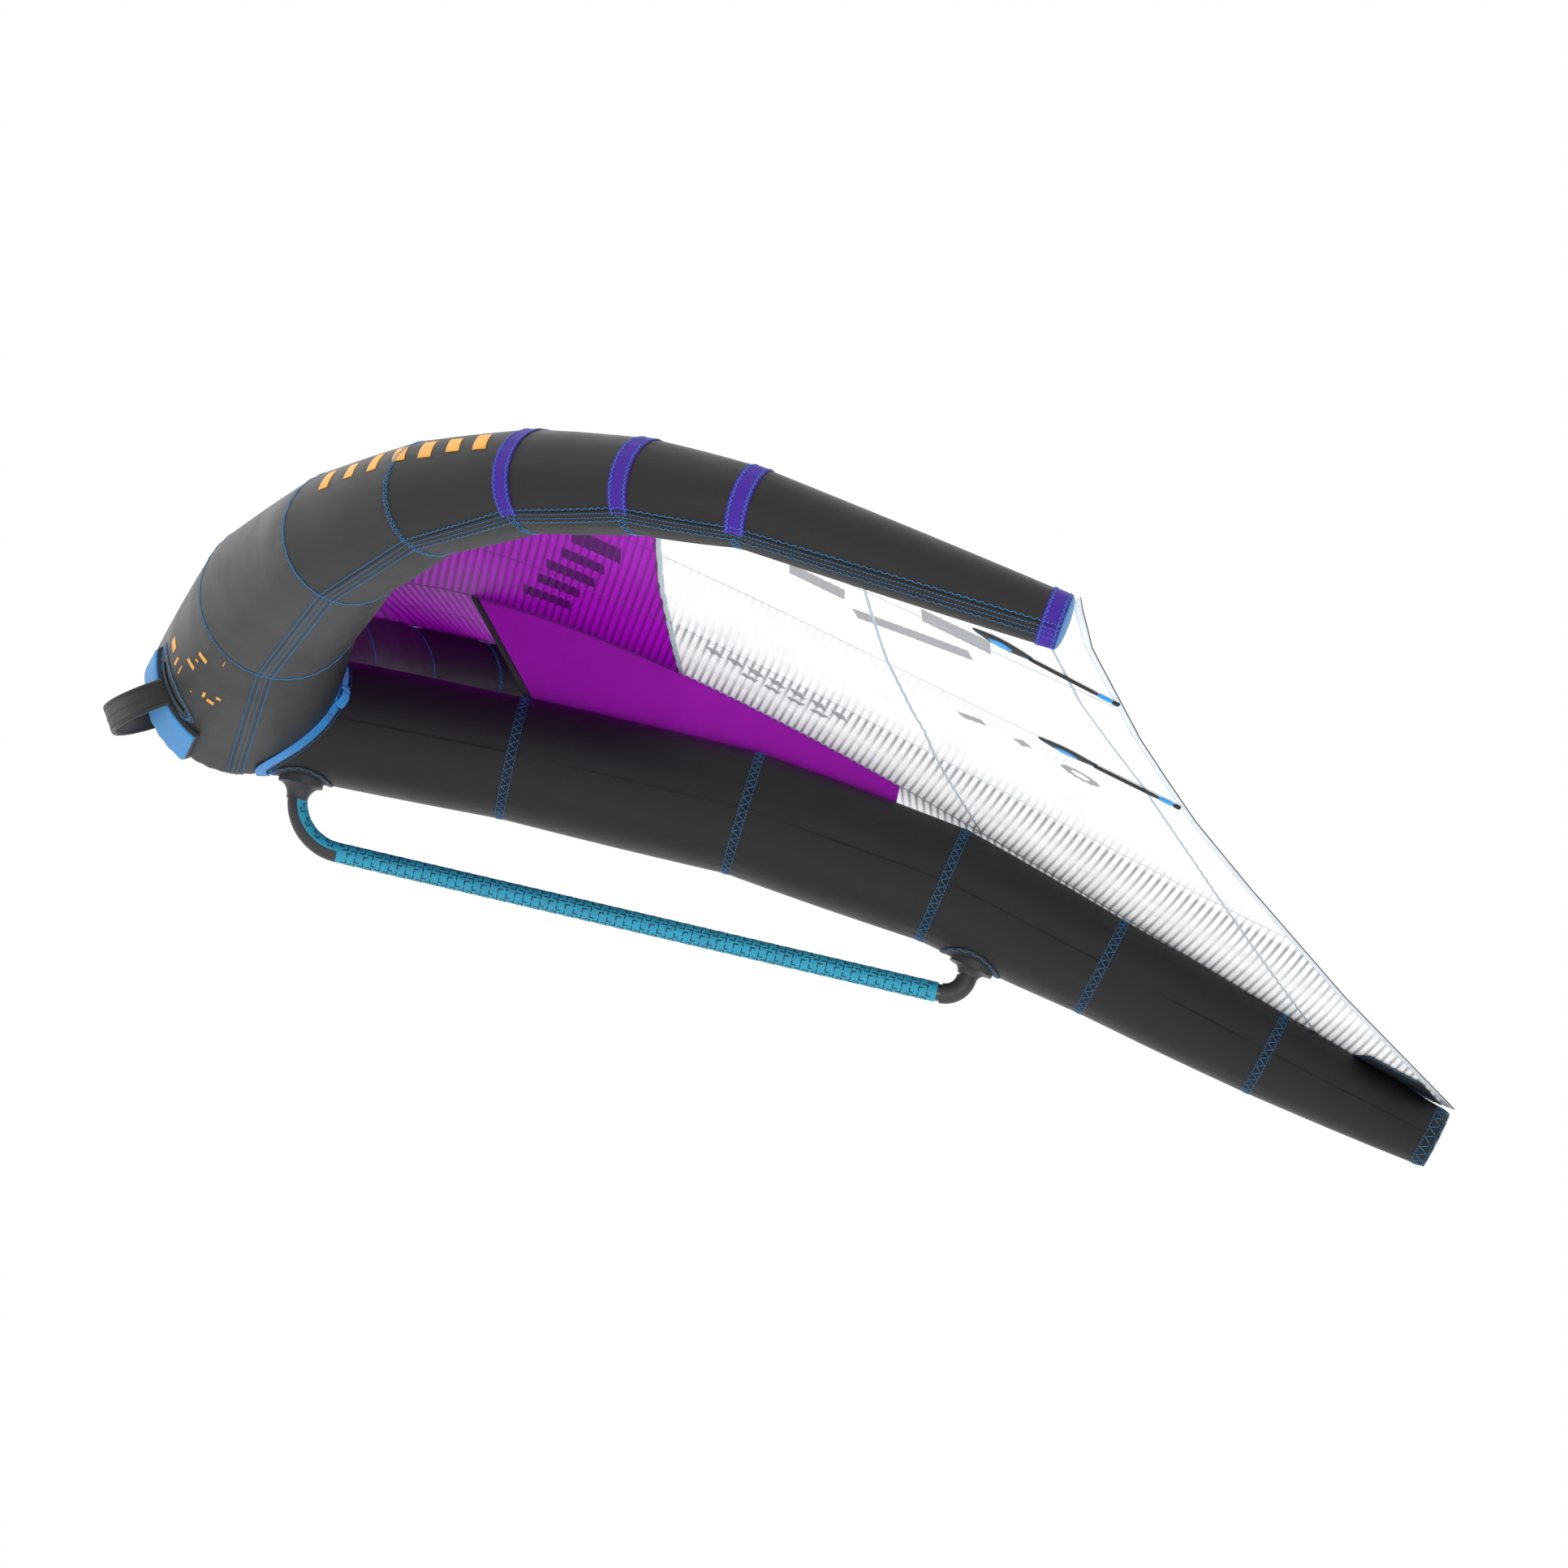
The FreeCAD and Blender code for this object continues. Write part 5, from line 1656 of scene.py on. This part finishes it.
BATTENS = (((0.365, 1.205), (0.577, 1.215)), ((0.487, 0.930), (0.695, 0.940)))
BATTEN_HEAD_LENGTH = 0.086
BATTEN_HEAD_WIDTH = 0.022
BATTEN_ROD_RADIUS = 0.0025
BATTEN_DROP = 0.0010
POD_THICKNESS = 0.0034
POD_LIFT = 0.0005
POD_INSET_START = 0.024
POD_INSET_LENGTH = 0.034
POD_INSET_THICKNESS = 0.0016
SLEEVE_START = 0.032
SLEEVE_END = 0.010
BATTEN_PROFILE = ((0.0, 0.05), (0.06, 0.15), (0.18, 0.31), (0.34, 0.46), (0.48, 0.50), (0.62, 0.47),
                  (0.76, 0.38), (0.90, 0.25), (1.0, 0.15))
POD_SECTION = ((-1.0, 0.0), (-0.96, 0.55), (-0.7, 0.9), (0.0, 1.0), (0.7, 0.9), (0.96, 0.55), (1.0, 0.0),
               (0.8, -0.2), (0.0, -0.25), (-0.8, -0.2))


def batten_line(head, tail, side):
    """Line under the canopy at a distance along a batten, and the batten's length."""
    start = np.array(head)
    run = np.array(tail) - start

    def line(distance):
        share = np.asarray(distance) / np.linalg.norm(run)
        spots = start + run * share[..., None]
        points, normals = canopy_at(spots[..., 0], spots[..., 1], BATTEN_DROP)
        return sided(points, side), -sided(normals, side)
    return line, np.linalg.norm(run)


def drop_shape(line, first, length, width, thickness, lift):
    """Flat drop-shaped pod lying along a line; widths follow the batten pocket profile."""
    profile = np.array(BATTEN_PROFILE)
    share = np.linspace(0.0, 1.0, 26)
    half = np.interp(share, profile[:, 0], profile[:, 1]) * width
    path, outs = line(first + share * length)
    sides, ups = path_frames(path, outs)
    rows = []
    for across, height in POD_SECTION:
        swell = thickness * height * np.sqrt(np.clip(half / half.max(), 0.0, 1.0))
        rows.append(path + sides * (half * across)[:, None] + ups * (lift + swell)[:, None])
    points = np.stack(rows, axis=1)
    return closed_tube(points, points - path[:, None])


def make_battens(stock):
    for name, side in SIDES:
        for number, (head, tail) in enumerate(BATTENS, 1):
            line, length = batten_line(head, tail, side)
            tag = "%s_%d" % (name, number)
            head_node = "batten_head_" + tag
            rod_node = "batten_rod_" + tag
            shape = drop_shape(line, 0.0, BATTEN_HEAD_LENGTH, BATTEN_HEAD_WIDTH, POD_THICKNESS, POD_LIFT)
            pod = join_parts("batten_pod_" + tag, [shape], stock["black_cloth"])
            stand_for(head_node)
            shape = drop_shape(line, POD_INSET_START, POD_INSET_LENGTH, BATTEN_HEAD_WIDTH * 0.66,
                               POD_INSET_THICKNESS, POD_THICKNESS)
            inset = join_parts("batten_inset_" + tag, [shape], stock["batten_blue"])
            make_batten_rod(tag, line, length, stock, rod_node)
            make_batten_sewing(tag, line, stock)


def make_batten_rod(tag, line, length, stock, node):
    """Rod, its blue sleeve and its black end: label, first, last, share of the radius, material."""
    sleeve = length - SLEEVE_START
    end = length - SLEEVE_END
    for label, first, last, radius, tone in (("rod", BATTEN_HEAD_LENGTH - 0.004, sleeve, 1.0, "batten"),
                                             ("sleeve", sleeve, end, 1.12, "batten_blue"),
                                             ("end", end, length, 1.2, "batten")):
        path, outs = line(np.linspace(first, last, max(int((last - first) / 0.008), 4)))
        path = path + outs * BATTEN_ROD_RADIUS
        taper = np.ones(len(path))
        taper[0] = taper[-1] = 0.8
        piece = tube_piece("batten_%s_%s" % (label, tag), path, BATTEN_ROD_RADIUS * radius * taper,
                           stock[tone], 12)
        if label == "rod":
            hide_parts(node)


def make_batten_sewing(tag, line, stock):
    sewing = Sewing("batten_stitching_" + tag, stock["thread"])
    for first, last in ((0.004, 0.018), (0.072, 0.084)):
        for offset in (-0.0016, 0.0016):
            def row(share):
                path, outs = line(first + (last - first) * share)
                sides = unit(np.cross(np.broadcast_to(path[-1] - path[0] + 1e-9, path.shape), outs))
                return path + outs * 0.0030 + sides * offset, outs
            sewing.dashes(row, last - first, 0.0034, 0.65, 0.0004)
    sewing.finish()


# ---------------------------------------------------------------- nose pad, anchors and handle

PAD_HALF_WIDTH = 0.093
PAD_ANGLES = (184.0, 247.0)
HANDLE_PIVOT = (-0.7417, 0.1581)
HANDLE_REACH = 0.0865
HANDLE_HALF_SPAN = 0.1015
HANDLE_PITCH = 32.2
HANDLE_TUCK = 0.10
HANDLE_WIDTH = 0.039
HANDLE_THICKNESS = 0.0042
ANCHOR_Y = 0.114
ANCHOR_HALF_WIDTH = 0.030
ANCHOR_MIDDLE_ANGLE = 212.5
ANCHOR_REACH_ANGLE = 28.0
ANCHOR_CUT_LENGTH = 0.264
ANCHOR_ROWS = 9
ANCHOR_COLUMNS = 72
ANCHOR_TAPE_WIDTH = 0.011
ANCHOR_TAPE_THICKNESS = 0.0022


def nose_surface(angle, y, lift):
    """Point on the leading edge near the centre: angle in degrees from straight aft."""
    angle, y = np.broadcast_arrays(np.asarray(angle, float), np.asarray(y, float))
    place = np.abs(y) / LE.centres[1][1]
    theta = np.radians(angle)
    points, outs = LE.surface(place, theta, lift)
    points[..., 1] *= np.where(y < 0, -1.0, 1.0)
    outs[..., 1] *= np.where(y < 0, -1.0, 1.0)
    return points, outs


# Layers of the nose pad: inset in degrees and across, underside, top, crown and rounding.
PAD_BACKING = (0.0, 0.0, 0.0006, 0.0068, 0.0, 0.003)
PAD_FOAM = (1.2, 0.0035, 0.0064, 0.0106, 0.0012, 0.004)
PAD_COLUMNS = [-1.0, -0.985, -0.95, *np.linspace(-0.88, 0.88, 23), 0.95, 0.985, 1.0]
PAD_STITCH_INSET = 0.0017


def pad_block(inset_angle, inset_y, low, high, crown, edge):
    """Closed block on the nose between two heights, its top crowned and its edges rounded."""
    first, last = PAD_ANGLES[0] + inset_angle, PAD_ANGLES[1] - inset_angle
    half = PAD_HALF_WIDTH - inset_y
    angles = np.linspace(first, last, 64)
    angle, y = np.meshgrid(angles, np.array(PAD_COLUMNS) * half, indexing="ij")
    from_ends = np.minimum(angle - first, last - angle) * math.pi / 180 * 0.14
    border = np.minimum(half - np.abs(y), from_ends)
    rounding = np.sqrt(np.clip(1.0 - (1.0 - np.clip(border / edge, 0.0, 1.0)) ** 2, 0.0, 1.0))
    fullness = smoothstep(0.0, half, border)
    lift = low + (high - low) * (0.25 + 0.75 * rounding) + crown * fullness
    top, outs = nose_surface(angle, y, lift)
    bottom = nose_surface(angle, y, low)[0]
    rows, columns = angle.shape
    faces = grid_faces(rows, columns, False)
    count = rows * columns
    faces += [tuple(i + count for i in face[::-1]) for face in grid_faces(rows, columns, False)]
    rim = ([(0, j) for j in range(columns)] + [(i, columns - 1) for i in range(1, rows)]
           + [(rows - 1, j) for j in range(columns - 2, -1, -1)] + [(i, 0) for i in range(rows - 2, 0, -1)])
    ids = [i * columns + j for i, j in rim]
    for a, b in zip(ids, ids[1:] + ids[:1]):
        faces.append((b, a, a + count, b + count))
    points = np.concatenate([top.reshape(-1, 3), bottom.reshape(-1, 3)])
    if faces_out(points, np.concatenate([outs.reshape(-1, 3)] * 2), faces[:200])[0] != faces[0]:
        faces = [face[::-1] for face in faces]
    return points, faces


def make_nose_pad(stock):
    base = join_parts("nose_pad_backing", [pad_block(*PAD_BACKING)], stock["black_cloth"])
    pad = join_parts("nose_pad_foam", [pad_block(*PAD_FOAM)], stock["pad"])
    stand_for("nose_pad")
    sewing = Sewing("nose_pad_stitching", stock["dark_thread"])
    for y in (PAD_STITCH_INSET - PAD_HALF_WIDTH, PAD_HALF_WIDTH - PAD_STITCH_INSET):
        def line(share):
            angle = PAD_ANGLES[0] + (PAD_ANGLES[1] - PAD_ANGLES[0]) * share
            return nose_surface(angle, np.full(share.shape, y), 0.0066)
        sewing.dashes(line, 0.16, 0.005)
    sewing.finish()


def make_anchors(stock):
    """Sewn patches on the leading edge where the handle's ends go in."""
    parts = []
    strips = []
    sewing = Sewing("anchor_stitching", stock["thread"])
    middle, reach = ANCHOR_MIDDLE_ANGLE, ANCHOR_REACH_ANGLE
    for sign in (-1.0, 1.0):
        around = np.linspace(0.0, 2.0 * math.pi, ANCHOR_COLUMNS, endpoint=False)
        share, turn = np.meshgrid(np.linspace(0.0, 1.0, ANCHOR_ROWS), around, indexing="ij")
        y = sign * (ANCHOR_Y + ANCHOR_HALF_WIDTH * share * np.sin(turn))
        angle = middle + reach * share * np.cos(turn)
        points, outs = nose_surface(angle, y, 0.0011 - 0.0007 * share ** 12)
        parts.append((points, faces_out(points, outs, grid_faces(ANCHOR_ROWS, ANCHOR_COLUMNS, True))))
        angles = np.linspace(middle - 15.5, middle + 19.0, 60)
        path, normals = nose_surface(angles, np.full(60, sign * ANCHOR_Y), 0.0022)
        tape = ribbon_points(path, normals, ANCHOR_TAPE_WIDTH, ANCHOR_TAPE_THICKNESS)
        strips.append(closed_tube(tape, tape - path[:, None]))

        def oval(size):
            def line(share):
                turn = 2.0 * math.pi * share
                spot_y = sign * (ANCHOR_Y + (ANCHOR_HALF_WIDTH - 0.0015) * size * np.sin(turn))
                return nose_surface(middle + (reach - 0.8) * size * np.cos(turn), spot_y, 0.0014)
            return line
        sewing.dashes(oval(1.0), 0.20)
        sewing.zigzag(oval(0.95), oval(0.86), 0.19, 0.007)

        def edge_row(offset):
            def line(share):
                y = np.full(share.shape, sign * ANCHOR_Y + offset)
                return nose_surface(middle - 15.0 + 33.5 * share, y, 0.0034)
            return line
        for offset in (-0.0038, 0.0038):
            sewing.dashes(edge_row(offset), 0.08, radius=0.0004)
    patch = join_parts("anchor_patches", parts, stock["patch"])
    thicken(patch, 0.0006)
    stand_for("handle_anchors")
    declare_by_mesh(patch, ANCHOR_CUT_LENGTH, 2.0 * ANCHOR_HALF_WIDTH)
    join_parts("anchor_tapes", strips, stock["black_cloth"])
    sewing.finish()


def handle_path():
    """Half loop of webbing, from the starboard anchor round to the port one."""
    pitch = math.radians(HANDLE_PITCH)
    turn = np.linspace(-HANDLE_TUCK, math.pi + HANDLE_TUCK, 90)
    forward = HANDLE_REACH * np.sin(turn)
    across = HANDLE_HALF_SPAN * np.cos(turn)
    points = np.stack([HANDLE_PIVOT[0] - forward * math.cos(pitch), across,
                       HANDLE_PIVOT[1] - forward * math.sin(pitch)], axis=-1)
    outs = np.stack([-np.sin(turn) * math.cos(pitch), np.cos(turn), -np.sin(turn) * math.sin(pitch)], axis=-1)
    return points, unit(outs)


def make_handle(stock):
    path, outs = handle_path()
    share = np.linspace(-1.0, 1.0, len(path))
    width = HANDLE_WIDTH - 0.003 * share ** 2
    piece = ribbon("handle_strap", path, outs, width, HANDLE_THICKNESS, stock["handle"], body=None)
    stand_for("handle_loop")
    declare_by_mesh(piece, path_run(path)[-1], closed=True)
    sewing = Sewing("handle_stitching", stock["dark_thread"], None)
    knots = range(len(path))
    across = unit(np.cross(np.gradient(path, axis=0), outs))
    for face in (1.0, -1.0):
        for offset in (-0.0145, 0.0, 0.0145):
            def line(share):
                at = np.clip(share, 0.0, 1.0) * knots[-1]
                out = along_path(at, knots, outs)
                side = along_path(at, knots, across)
                return along_path(at, knots, path) + out * (face * 0.0021) + side * offset, out * face
            sewing.dashes(line, 0.24, 0.0042, 0.65, 0.0005)
    stitches = sewing.finish()
    for number, sign in enumerate((-1.0, 1.0), 1):
        rail = path + across * (width / 2.0 - 0.001)[:, None] * sign
        piping = tube_piece("handle_piping_%d" % number, rail, 0.0026, stock["handle"], 10, None)
        blend_handle(piping)
    blend_handle(piece)
    blend_handle(stitches)


def blend_handle(piece):
    """Bakes the piece's placement into its mesh."""
    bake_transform(piece)


# ---------------------------------------------------------------- junction strap and buckle

STRAP_OFFSET = 0.0055
STRAP_CLEAR = 0.0045
STRAP_WIDTH = 0.0165
STRAP_THICKNESS = 0.0020
STRAP_END_THICKNESS = 0.0018

# Ladder buckle: half sizes, and each cross bar's place along it, radius and height.
BUCKLE_THETA = math.radians(17.0)
BUCKLE_HALF_LENGTH = 0.0125
BUCKLE_HALF_WIDTH = 0.0095
BUCKLE_RAIL_RADIUS = 0.0024
BUCKLE_BARS = ((-1.0, 0.0023, 0.0), (-0.15, 0.0019, 0.001), (0.95, 0.0026, 0.0012))


def strap_point(theta, offset, clear):
    """Point on the leading edge where a collar round the strut crosses it."""
    theta = np.asarray(theta, float)
    place = junction_place(theta, offset, clear)
    points, outs = strut_at(place, theta, np.full(theta.shape, offset))
    step = 1e-4
    gradient = []
    for axis in range(3):
        shift = np.zeros(3)
        shift[axis] = step
        gradient.append((nose_clearance(points + shift) - nose_clearance(points - shift)) / (2 * step))
    return points, unit(np.stack(gradient, axis=-1))


def make_strap(stock):
    theta = np.linspace(0.0, 2.0 * math.pi, 200, endpoint=False)
    path, normals = strap_point(theta, STRAP_OFFSET, STRAP_CLEAR)
    outward = np.stack([np.zeros_like(theta), -np.cos(theta), np.sin(theta)], axis=-1)
    normals = unit(normals + outward)
    strap = ribbon("junction_strap_webbing", path, normals, STRAP_WIDTH, STRAP_THICKNESS,
                   stock["strap"], True)
    stand_for("junction_strap")
    declare_by_mesh(strap, path_run(path)[-1], closed=True)
    make_buckle(stock)


def make_buckle(stock):
    """Ladder buckle on the port side: frame, bars, doubled strap and a loose tail."""
    path, normals = strap_point(BUCKLE_THETA + np.array([-0.01, 0.0, 0.01]), STRAP_OFFSET, STRAP_CLEAR)
    outward = np.array([0.0, -math.cos(BUCKLE_THETA), math.sin(BUCKLE_THETA)])
    centre, normal = path[1], unit(normals[1] + outward)
    along = unit(path[2] - path[0])
    across = unit(np.cross(along, normal))
    parts = []

    def bar(a, b, radius):
        line = np.linspace(0.0, 1.0, 6)[:, None]
        spine = a + (b - a) * line
        ring = np.linspace(0.0, 2 * math.pi, 10, endpoint=False)
        t = unit(b - a)
        u = unit(np.cross(t, normal + 0.01 * across + 0.01 * along))
        v = np.cross(t, u)
        shrink = np.array([0.6, 1.0, 1.0, 1.0, 1.0, 0.6])[:, None, None]
        out = u * np.cos(ring)[:, None] + v * np.sin(ring)[:, None]
        points = spine[:, None] + out[None] * radius * shrink
        parts.append(closed_tube(points, np.broadcast_to(out[None], points.shape)))

    base = centre + normal * 0.0042
    for sign in (-1.0, 1.0):
        side = base + across * (BUCKLE_HALF_WIDTH * sign)
        bar(side - along * BUCKLE_HALF_LENGTH, side + along * BUCKLE_HALF_LENGTH, BUCKLE_RAIL_RADIUS)
    for share, radius, rise in BUCKLE_BARS:
        middle = base + along * (BUCKLE_HALF_LENGTH * share) + normal * rise
        bar(middle - across * BUCKLE_HALF_WIDTH, middle + across * BUCKLE_HALF_WIDTH, radius)
    frame_piece = join_parts("ladder_buckle", parts, stock["buckle"])
    stand_for("strap_buckle")
    steps = np.linspace(0.0, 1.0, 24)
    rise = 0.0075 * np.sin(math.pi * np.clip(steps * 1.15, 0.0, 1.0)) + 0.0032
    loop = centre + along * (-0.016 + 0.034 * steps)[:, None] + normal * rise[:, None]
    doubled = ribbon("strap_doubled_end", loop, np.broadcast_to(normal, loop.shape), STRAP_WIDTH,
                     STRAP_END_THICKNESS, stock["strap"])
    fall = unit(-along + 0.35 * across)
    if fall[2] > 0:
        fall = unit(along + 0.35 * across)
    steps = np.linspace(0.0, 1.0, 20)
    lift = 0.0034 + 0.0035 * np.sin(steps * math.pi)
    tail = centre + fall * (0.010 + 0.034 * steps)[:, None]
    for _ in range(4):
        tail = tail + normal * (lift - nose_clearance(tail))[:, None]
    loose = ribbon("strap_loose_tail", tail, np.broadcast_to(normal, tail.shape),
                   STRAP_WIDTH * (1.0 - 0.25 * steps ** 4), STRAP_END_THICKNESS, stock["strap"])


# ---------------------------------------------------------------- boom

INLAY_COLUMN = 0.0125
INLAY_ROWS = 9
INLAY_SIZE = 0.0072
INLAY_WIDTH = 0.0015
INLAY_RISE = 0.00025
INLAY_DEPTH = 0.0012
INLAY_FREE_ANGLE = math.radians(106)


def grip_frame(run):
    """Centre line of the grip at a distance from its upper front end, with two square directions."""
    run = np.asarray(run, float)
    arc = FRONT_BEND_RADIUS * math.pi / 2.0
    turn = np.clip(run / FRONT_BEND_RADIUS, 0.0, math.pi / 2.0)
    centre = np.array([GRIP_FRONT_X, 0.0, FRONT_BEND_RADIUS])
    out = np.stack([-np.cos(turn), np.zeros_like(turn), -np.sin(turn)], axis=-1)
    points = centre + out * FRONT_BEND_RADIUS
    points[..., 0] += np.maximum(run - arc, 0.0)
    side = np.broadcast_to(np.array([0.0, -1.0, 0.0]), points.shape)
    return points, out, side


def grip_surface(run, turn, lift=0.0):
    """turn is 0 on the side away from the strut and goes round through port."""
    run, turn = np.broadcast_arrays(np.asarray(run, float), np.asarray(turn, float))
    centre, out, side = grip_frame(run)
    normal = out * np.cos(turn)[..., None] + side * np.sin(turn)[..., None]
    return centre + normal * (GRIP_RADIUS + lift), normal


def make_grip(stock):
    """Rings of small L-shaped inlays let into the grip, in staggered rows."""
    arc = FRONT_BEND_RADIUS * math.pi / 2.0
    total = arc + GRIP_REAR_X - GRIP_FRONT_X
    parts = []
    for column in range(int(total / INLAY_COLUMN)):
        run = (column + 0.6) * INLAY_COLUMN
        half_open = run < arc + 0.004
        for row in range(INLAY_ROWS):
            turn = (row + (0.5 if column % 2 else 0.0)) * 2.0 * math.pi / INLAY_ROWS
            if half_open and abs((turn + math.pi) % (2 * math.pi) - math.pi) < INLAY_FREE_ANGLE:
                continue
            flip = 1.0 if column % 2 else -1.0
            arm = INLAY_SIZE / GRIP_RADIUS
            thick = INLAY_WIDTH / GRIP_RADIUS
            first, last = turn - arm / 2, turn + arm / 2
            foot = (run - flip * INLAY_SIZE, run + INLAY_WIDTH * 0.5, last - thick, last)
            if row % 2:
                foot = (run + flip * INLAY_SIZE, run + INLAY_WIDTH * 0.5, first, first + thick)
            boxes = [(run, run + INLAY_WIDTH, first, last), foot]
            for low, high, first, last in boxes:
                parts.append(inlay_box(min(low, high), max(low, high), first, last, total))
    piece = join_parts("grip_inlays", parts, stock["inlay"], "boom")


def inlay_box(low, high, first, last, total):
    """Thin curved block let into the grip."""
    high = min(high, total - 0.001)
    low = max(low, 0.001)
    runs = np.array([low, high, high, low])
    turns = np.array([first, first, last, last])
    middle = (first + last) / 2.0
    ends = np.array([low, high])
    points = np.concatenate([grip_surface(runs, turns, INLAY_RISE)[0],
                             grip_surface(runs, turns, -INLAY_DEPTH)[0],
                             grip_surface(ends, middle, INLAY_RISE)[0],
                             grip_surface(ends, middle, -INLAY_DEPTH)[0]])
    faces = [(0, 1, 9, 8), (8, 9, 2, 3), (5, 4, 10, 11), (11, 10, 7, 6), (0, 4, 5, 1), (2, 6, 7, 3),
             (0, 8, 10, 4), (8, 3, 7, 10), (1, 5, 11, 9), (9, 11, 6, 2)]
    return points, faces_out(points, points - points.mean(axis=0), faces)


def paint_node(node, material):
    """Paints a frame node that is seen as it is."""
    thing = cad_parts[node]
    if not len(thing.material_slots):
        thing.data.materials.append(material)
    for slot in thing.material_slots:
        slot.link = "OBJECT"
        slot.material = material


PATCH_RADIUS = 0.047
PATCH_ROWS = 16
PATCH_COLUMNS = 96
PATCH_LIFT = 0.0012
PATCH_ZIGZAG_INSETS = (0.0055, 0.001)
PATCH_PERIOD = 0.0175
NOSE_CLEAR = 0.0045


def patch_point(x0, reach, turn, lift):
    """Underside of the strut round the point over a boom flange."""
    x = x0 + reach * np.cos(turn)
    y = reach * np.sin(turn)
    place = np.interp(x, STRUT.centres[:, 0], range(len(STRUT_RINGS)))
    for _ in range(4):
        radius = STRUT.radius_at(place)
        theta = -math.pi / 2.0 - np.arcsin(np.clip(y / radius, -1.0, 1.0))
        points, outs = STRUT.surface(place, theta, lift)
        place = place + (x - points[..., 0]) / STRUT.lengths[0]
    return points, outs


def make_mount_patches(stock):
    for label, x0 in (("front", GRIP_FRONT_X - FRONT_BEND_RADIUS), ("rear", REAR_BEND_X + REAR_BEND_RADIUS)):
        around = np.linspace(0, 2 * math.pi, PATCH_COLUMNS, endpoint=False)
        share, turn = np.meshgrid(np.linspace(0.02, 1.0, PATCH_ROWS), around, indexing="ij")
        points, outs = patch_point(x0, PATCH_RADIUS * share, turn, PATCH_LIFT)
        piece = grid_piece("flange_patch_" + label, points, outs, stock["patch"], True, CLOTH_THICKNESS)
        if label == "front":
            trim_front_patch(piece)
        stand_for("mount_patch_" + label)
        declare_by_mesh(piece, 2.0 * PATCH_RADIUS)
        sewing = Sewing("flange_stitching_" + label, stock["thread"])

        def circle(radius):
            def line(share):
                return patch_point(x0, radius, 2.0 * math.pi * share, 0.0016)
            return line
        inner, outer = [circle(PATCH_RADIUS - inset) for inset in PATCH_ZIGZAG_INSETS]
        sewing.zigzag(inner, outer, 2.0 * math.pi * PATCH_RADIUS, PATCH_PERIOD)
        stitches = sewing.finish()
        if label == "front":
            trim_front_patch(stitches)


def trim_front_patch(piece):
    """Removes what would lie inside the leading edge or under its strap."""
    mesh = piece.data
    count = len(mesh.vertices)
    flat = np.zeros(count * 3)
    mesh.vertices.foreach_get("co", flat)
    inside = nose_clearance(flat.reshape(-1, 3)) < NOSE_CLEAR
    work = bmesh.new()
    work.from_mesh(mesh)
    work.verts.ensure_lookup_table()
    gone = [work.verts[i] for i in np.nonzero(inside)[0]]
    bmesh.ops.delete(work, geom=gone, context="VERTS")
    work.to_mesh(mesh)
    work.free()


# Frame nodes seen as they are, and the material of each.
PAINTED_NODES = (("boom_tube", "carbon"), ("boom_grip", "grip"), ("boom_cuff_front", "boom_rubber"),
                 ("boom_cuff_rear", "boom_rubber"), ("valve_base", "valve"), ("valve_cap", "valve_lid"))


def paint_frame(stock):
    for node, tone in PAINTED_NODES:
        paint_node(node, stock[tone])


# ---------------------------------------------------------------- build


make_camera()
make_studio()
STOCK = make_materials()
make_leading_edge(STOCK)
make_strut(STOCK)
make_bladders(STOCK)
make_canopy(STOCK)
make_centre_seam(STOCK)
make_web(STOCK)
make_gussets(STOCK)
make_battens(STOCK)
make_nose_pad(STOCK)
make_anchors(STOCK)
make_handle(STOCK)
make_strap(STOCK)
paint_frame(STOCK)
make_grip(STOCK)
make_mount_patches(STOCK)
